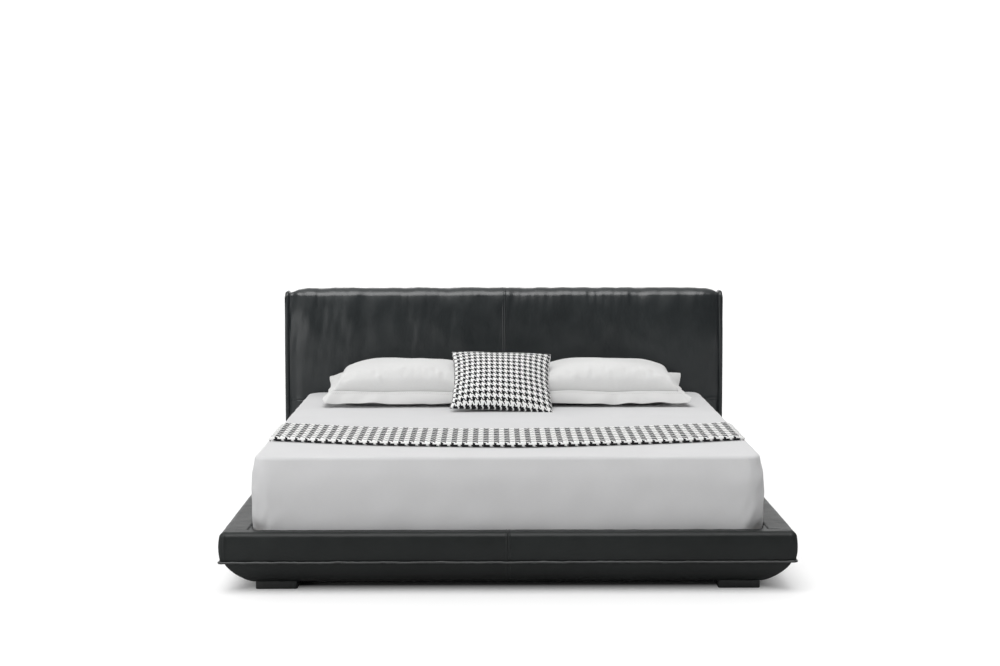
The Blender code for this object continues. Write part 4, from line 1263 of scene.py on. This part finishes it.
def build_cushion():
    """Square cushion leaning on the two pillows, its corners drawn out into points."""
    shape, faces, flat = filled_case("cushion_sim", (0.45, 0.45), 0.0095, cut_scale=1.02,
                                     scale=(0.985, 0.965), pull=0.070, height=0.062, seed=101,
                                     pressure=4.0)[:3]
    under = shape[:, 2] < 0
    shape[under, 2] *= 0.8
    shape = shape @ np.array(Matrix.Rotation(math.radians(CUSHION_LEAN), 3, "X")).T
    share = (shape[:, 1] - shape[:, 1].min()) / np.ptp(shape[:, 1])
    shape[:, 2] -= (CUSHION_DIP[0] + (CUSHION_DIP[1] - CUSHION_DIP[0]) * share) * shape[:, 0]
    shape = shape + CUSHION_CENTRE
    cloth = make_object("cushion_case", shape, faces, CUSHION_CLOTH, flat[:, :2])
    refine(cloth)
    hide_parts("cushion")
    place_on(cloth, "cushion")


def flange_directions(seam_flat, inner):
    """For each seam point: the way out, how steeply the flange starts and how steeply it ends."""
    half = np.array(PILLOW_BODY) / 2
    out = seam_flat[:, :2] / half
    front = fade(-seam_flat[:, 1] / half[1], 0.80, 1.0)
    rear = fade(seam_flat[:, 1] / half[1], 0.80, 1.0)
    ends = fade(np.abs(seam_flat[:, 0]) / half[0], 0.85, 1.0)
    start = np.radians(25 * ends + 38 * front * (1 - 0.6 * ends) - 18 * rear)
    end = 45 * ends * (1 - rear) + (66 + 34 * inner) * front * (1 - 0.75 * ends) - 10 * rear * ends
    return out, start, np.radians(end)


def build_flange(shape, flat, seam, seed):
    """Soft double border sewn round the filled part: points, faces and flat cloth places."""
    steps = 9
    ring = shape[seam]
    inner = fade(-np.sign(ring[:, 0].mean()) * flat[seam, 0], -0.05, 0.22)
    out, start, end = flange_directions(flat[seam], inner)
    around = lengths_along(ring)
    pace = PILLOW_BORDER / steps
    rows = [ring]
    for k in range(steps):
        share = (k + 0.5) / steps
        angle = start + (end - start) * share
        ruffle = 0.25 * share * ripple(around, 0 * around + share * 0.02, 0.17, seed)
        ruffle = ruffle + 0.16 * (1 - share) * ripple(around, 0 * around, 0.09, seed + 1)
        angle = angle + ruffle
        step = np.column_stack([out * np.cos(angle)[:, None], -np.sin(angle)]) * pace
        new = rows[-1] + step
        new[:, 2] = np.maximum(new[:, 2], SHEET_TOP + 0.0035 + 0.013 * inner)
        rows.append(new)
    grid = np.array(rows)
    normals = np.cross(np.gradient(grid, axis=0), np.roll(grid, -1, axis=1) - np.roll(grid, 1, axis=1))
    normals /= np.maximum(np.linalg.norm(normals, axis=2, keepdims=True), 1e-12)
    normals *= np.sign(normals[..., 2].sum())
    away = np.arange(steps + 1) * pace
    thick = 0.0012 - 0.0008 * bell(away - 0.010, 0.0025)
    above = grid + normals * thick[:, None, None]
    below = grid - normals * thick[:, None, None]
    points = np.concatenate([above, below[::-1]])
    count = len(seam)
    last = (len(points) - 1) * count
    faces = grid_faces(len(points), count, closed=True)
    faces += [[last + j, last + (j + 1) % count, (j + 1) % count, j] for j in range(count)]
    out_and_back = np.concatenate([away, away[::-1]])
    uv = np.stack(np.broadcast_arrays(around[None, :], out_and_back[:, None]), axis=2)
    return points.reshape(-1, 3), faces, uv.reshape(-1, 2), above


def settle(points, floor, soft=0.006):
    """Flatten the underside of something soft on a level floor."""
    height = points[:, 2] - floor
    points[:, 2] = floor + np.where(height > 4 * soft, height, soft * np.log1p(np.exp(height / soft)))
    return points


def pillow_creases(flat, face_side, seed):
    """Small gathers over the filled part, running back from its front seam and in from its ends."""
    from_front = flat[:, 1] + PILLOW_BODY[1] / 2
    from_end = PILLOW_BODY[0] / 2 - np.abs(flat[:, 0])
    back = ripple(flat[:, 0], from_front, 0.080, seed, stretch=0.5) * bell(from_front - 0.03, 0.06)
    across = ripple(flat[:, 1], from_end, 0.080, seed + 1, stretch=0.5) * bell(from_end - 0.02, 0.05)
    return np.where(face_side > 0, 0.0040 * (back + across), 0.0)


def build_pillow(name, side):
    """Filled case lying on the mattress, with a soft double flange round it."""
    shape, faces, flat, seam, face_side = filled_case(
        f"pillow_{name}_sim", PILLOW_BODY, 0.010, cut_scale=1.10, scale=(0.925, 0.915), pull=0.012,
        height=PILLOW_RISE, seed=111 + side, pressure=3.2)
    upper = shape[:, 2] > 0
    shape[upper, 2] = PILLOW_RISE * (shape[upper, 2] / PILLOW_RISE) ** 0.72
    shape[:, 2] += 0.022 * fade(flat[:, 1], 0.06, 0.23)
    shape[:, 2] += pillow_creases(flat, face_side, 125 + side)
    shape = shape + np.array([PILLOW_X[name], PILLOW_Y, PILLOW_SEAM_Z])
    shape[:, 2] += 0.004 * ripple(shape[:, 0], shape[:, 1], 0.35, 115 + side)
    shape = settle(shape, SHEET_TOP + 0.0012)
    border, border_faces, border_uv, above = build_flange(shape, flat, seam, 118 + side)
    count = len(shape)
    points = np.concatenate([shape, border])
    faces = faces + [[count + i for i in face] for face in border_faces]
    uv = np.concatenate([flat[:, :2], border_uv])
    cloth = make_object(f"pillow_{name}_case", points, faces, PILLOW_COTTON, uv)
    refine(cloth)
    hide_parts(f"pillow_{name}")
    place_on(cloth, f"pillow_{name}")
    rows = [np.concatenate([above[k], above[k][:1]]) for k in (1, 2)]
    sewn = sewn_rows(f"pillow_{name}_thread", rows)
    place_on(sewn, f"pillow_{name}")


# ---------------------------------------------------------------- stage

def build_floor():
    """A plain pale floor, far wider than the view. The camera sees it whiter than it lights the bed,
    and paler beside the bed than its shadow alone would leave it: a white glow mixed in there is painted
    light."""
    n = Finish("pale_floor")
    shade = n.ramp(n.noise(n.place(), 0.6, 2.0), 0.3, 0.7, 0.54, 0.56)
    seen = n.add("LightPath").outputs["Is Camera Ray"]
    gain = n.ramp(seen, 0.0, 1.0, 1.0, FLOOR_WHITENING)
    matt = n.add("BsdfDiffuse", {"Color": n.math("MULTIPLY", shade, gain)}).outputs[0]
    # Painted light: a share of white glow, mixed in beside and ahead of the bed, lifts the shadow the bed
    # casts on the floor.
    place = n.split(n.place())
    beside = n.ramp(n.math("ABSOLUTE", place["X"]), *PAINTED_LIGHT_X)
    ahead = n.ramp(n.math("ABSOLUTE", place["Y"]), *PAINTED_LIGHT_Y)
    share = n.math("MULTIPLY", n.math("MAXIMUM", beside, ahead), FLOOR_PAINTED_LIGHT)
    painted_light = n.add("Emission", {"Strength": 1.0}).outputs[0]
    both = n.add("MixShader", {0: n.math("MULTIPLY", share, seen), 1: matt, 2: painted_light}).outputs[0]
    n.tree.links.new(both, n.tree.nodes["Material Output"].inputs["Surface"])
    corners = [(FLOOR_HALF * x, FLOOR_HALF * y, 0.0) for x, y in ((-1, -1), (1, -1), (1, 1), (-1, 1))]
    make_object("floor", corners, [[0, 1, 2, 3]], n.material)


def light_world():
    """White behind the bed, greyer in front and on the right; the camera always sees white."""
    world = bpy.data.worlds.new("studio")
    bpy.context.scene.world = world
    n = Nodes(world)
    towards = n.split(n.add("TexCoord").outputs["Generated"])
    depth = n.ramp(towards["Y"], -0.6, 0.7, *WORLD_FRONT_TO_BACK)
    side = n.ramp(towards["X"], -1.0, 1.0, *WORLD_LEFT_TO_RIGHT)
    seen = n.add("LightPath").outputs["Is Camera Ray"]
    bright = n.math("MAXIMUM", n.math("MULTIPLY", depth, side), seen)
    back = n.tree.nodes["Background"]
    n.tree.links.new(bright, back.inputs["Strength"])
    back.inputs["Color"].default_value = (1.0, 1.0, 1.0, 1.0)


def add_light(name, kind, place, target, energy, **settings):
    """A lamp at place, aimed at target."""
    lamp = bpy.data.lights.new(name, kind)
    lamp.energy = energy
    for key, value in settings.items():
        setattr(lamp, key, value)
    holder = bpy.data.objects.new(name, lamp)
    holder.location = place
    holder.rotation_euler = (Vector(target) - Vector(place)).to_track_quat("-Z", "Y").to_euler()
    bpy.context.scene.collection.objects.link(holder)


def build_lights():
    """A wide soft lamp above and in front, and a weaker panel on the left."""
    light_world()
    add_light("overhead", "SUN", (-0.7, -2.7, 5.0), (0.0, 0.0, 0.0), 2.35, angle=math.radians(44))
    add_light("left_softbox", "AREA", (-4.0, -4.2, 1.6), (-0.3, 0.6, 0.5), 42.0,
              shape="RECTANGLE", size=3.4, size_y=2.2)


def build_camera():
    """Eye a little above the bed, six metres in front of the foot rail."""
    pitch, turn, roll = EYE_TURNS
    lens = bpy.data.cameras.new("camera")
    lens.sensor_width = 36.0
    lens.lens = LENS_SHARE * lens.sensor_width
    lens.clip_end = 200.0
    camera = bpy.data.objects.new("camera", lens)
    spin = Matrix.Rotation(turn, 4, "Z") @ Matrix.Rotation(math.pi / 2 - pitch, 4, "X")
    camera.matrix_world = Matrix.Translation(EYE) @ spin @ Matrix.Rotation(roll, 4, "Z")
    bpy.context.scene.collection.objects.link(camera)
    bpy.context.scene.camera = camera


# ---------------------------------------------------------------- assembly

CAD_FINISH = {
    "beech_slat": BEECH, "foam": FOAM, "zinc_steel": ZINC, "black_steel": BLACK_STEEL,
    "backing_cloth": LINING, "foot_lacquer": FOOT_LACQUER, "ticking": TICKING,
    "sheet_cotton": SHEET_COTTON, "pillow_cotton": PILLOW_COTTON, "houndstooth_cotton": CUSHION_CLOTH,
    "rail_leather": RAIL_LEATHER, "headboard_leather": HEAD_LEATHER, "piping_leather": PIPING_LEATHER_PAINTED_HIGHLIGHT,
}


def dress_cad_nodes():
    """Give every CAD node its finish and slightly eased edges. Timber's grain runs its long way,
    and the boards that could show under the leather are stained dark."""
    for row in frame["record"]["subparts"]:
        name, slot = row["node"], row["material_slot"]
        node = NODES[name]
        if slot == "pine":
            low, high = low_high(name)
            stained = name.endswith(("_plinth", "_core")) or "cleat" in name
            finish = (STAINED if stained else PINE)[int(np.argmax(high - low))]
        else:
            finish = CAD_FINISH[slot]
        node.data.materials.clear()
        node.data.materials.append(finish)
        eased = node.modifiers.new("eased_edges", "BEVEL")
        eased.width = 0.0008
        eased.segments = 2
        eased.limit_method = "ANGLE"
        eased.angle_limit = math.radians(50)


def main():
    """Build the stage, dress the CAD pieces and cover the soft ones."""
    bpy.context.scene.view_settings.view_transform = "Standard"
    build_camera()
    build_lights()
    build_floor()
    dress_cad_nodes()
    build_rails()
    build_recess_corners()
    build_welt()
    build_feet()
    build_headboard()
    build_mattress()
    build_runner()
    build_cushion()
    build_pillow("left", -1)
    build_pillow("right", 1)


main()
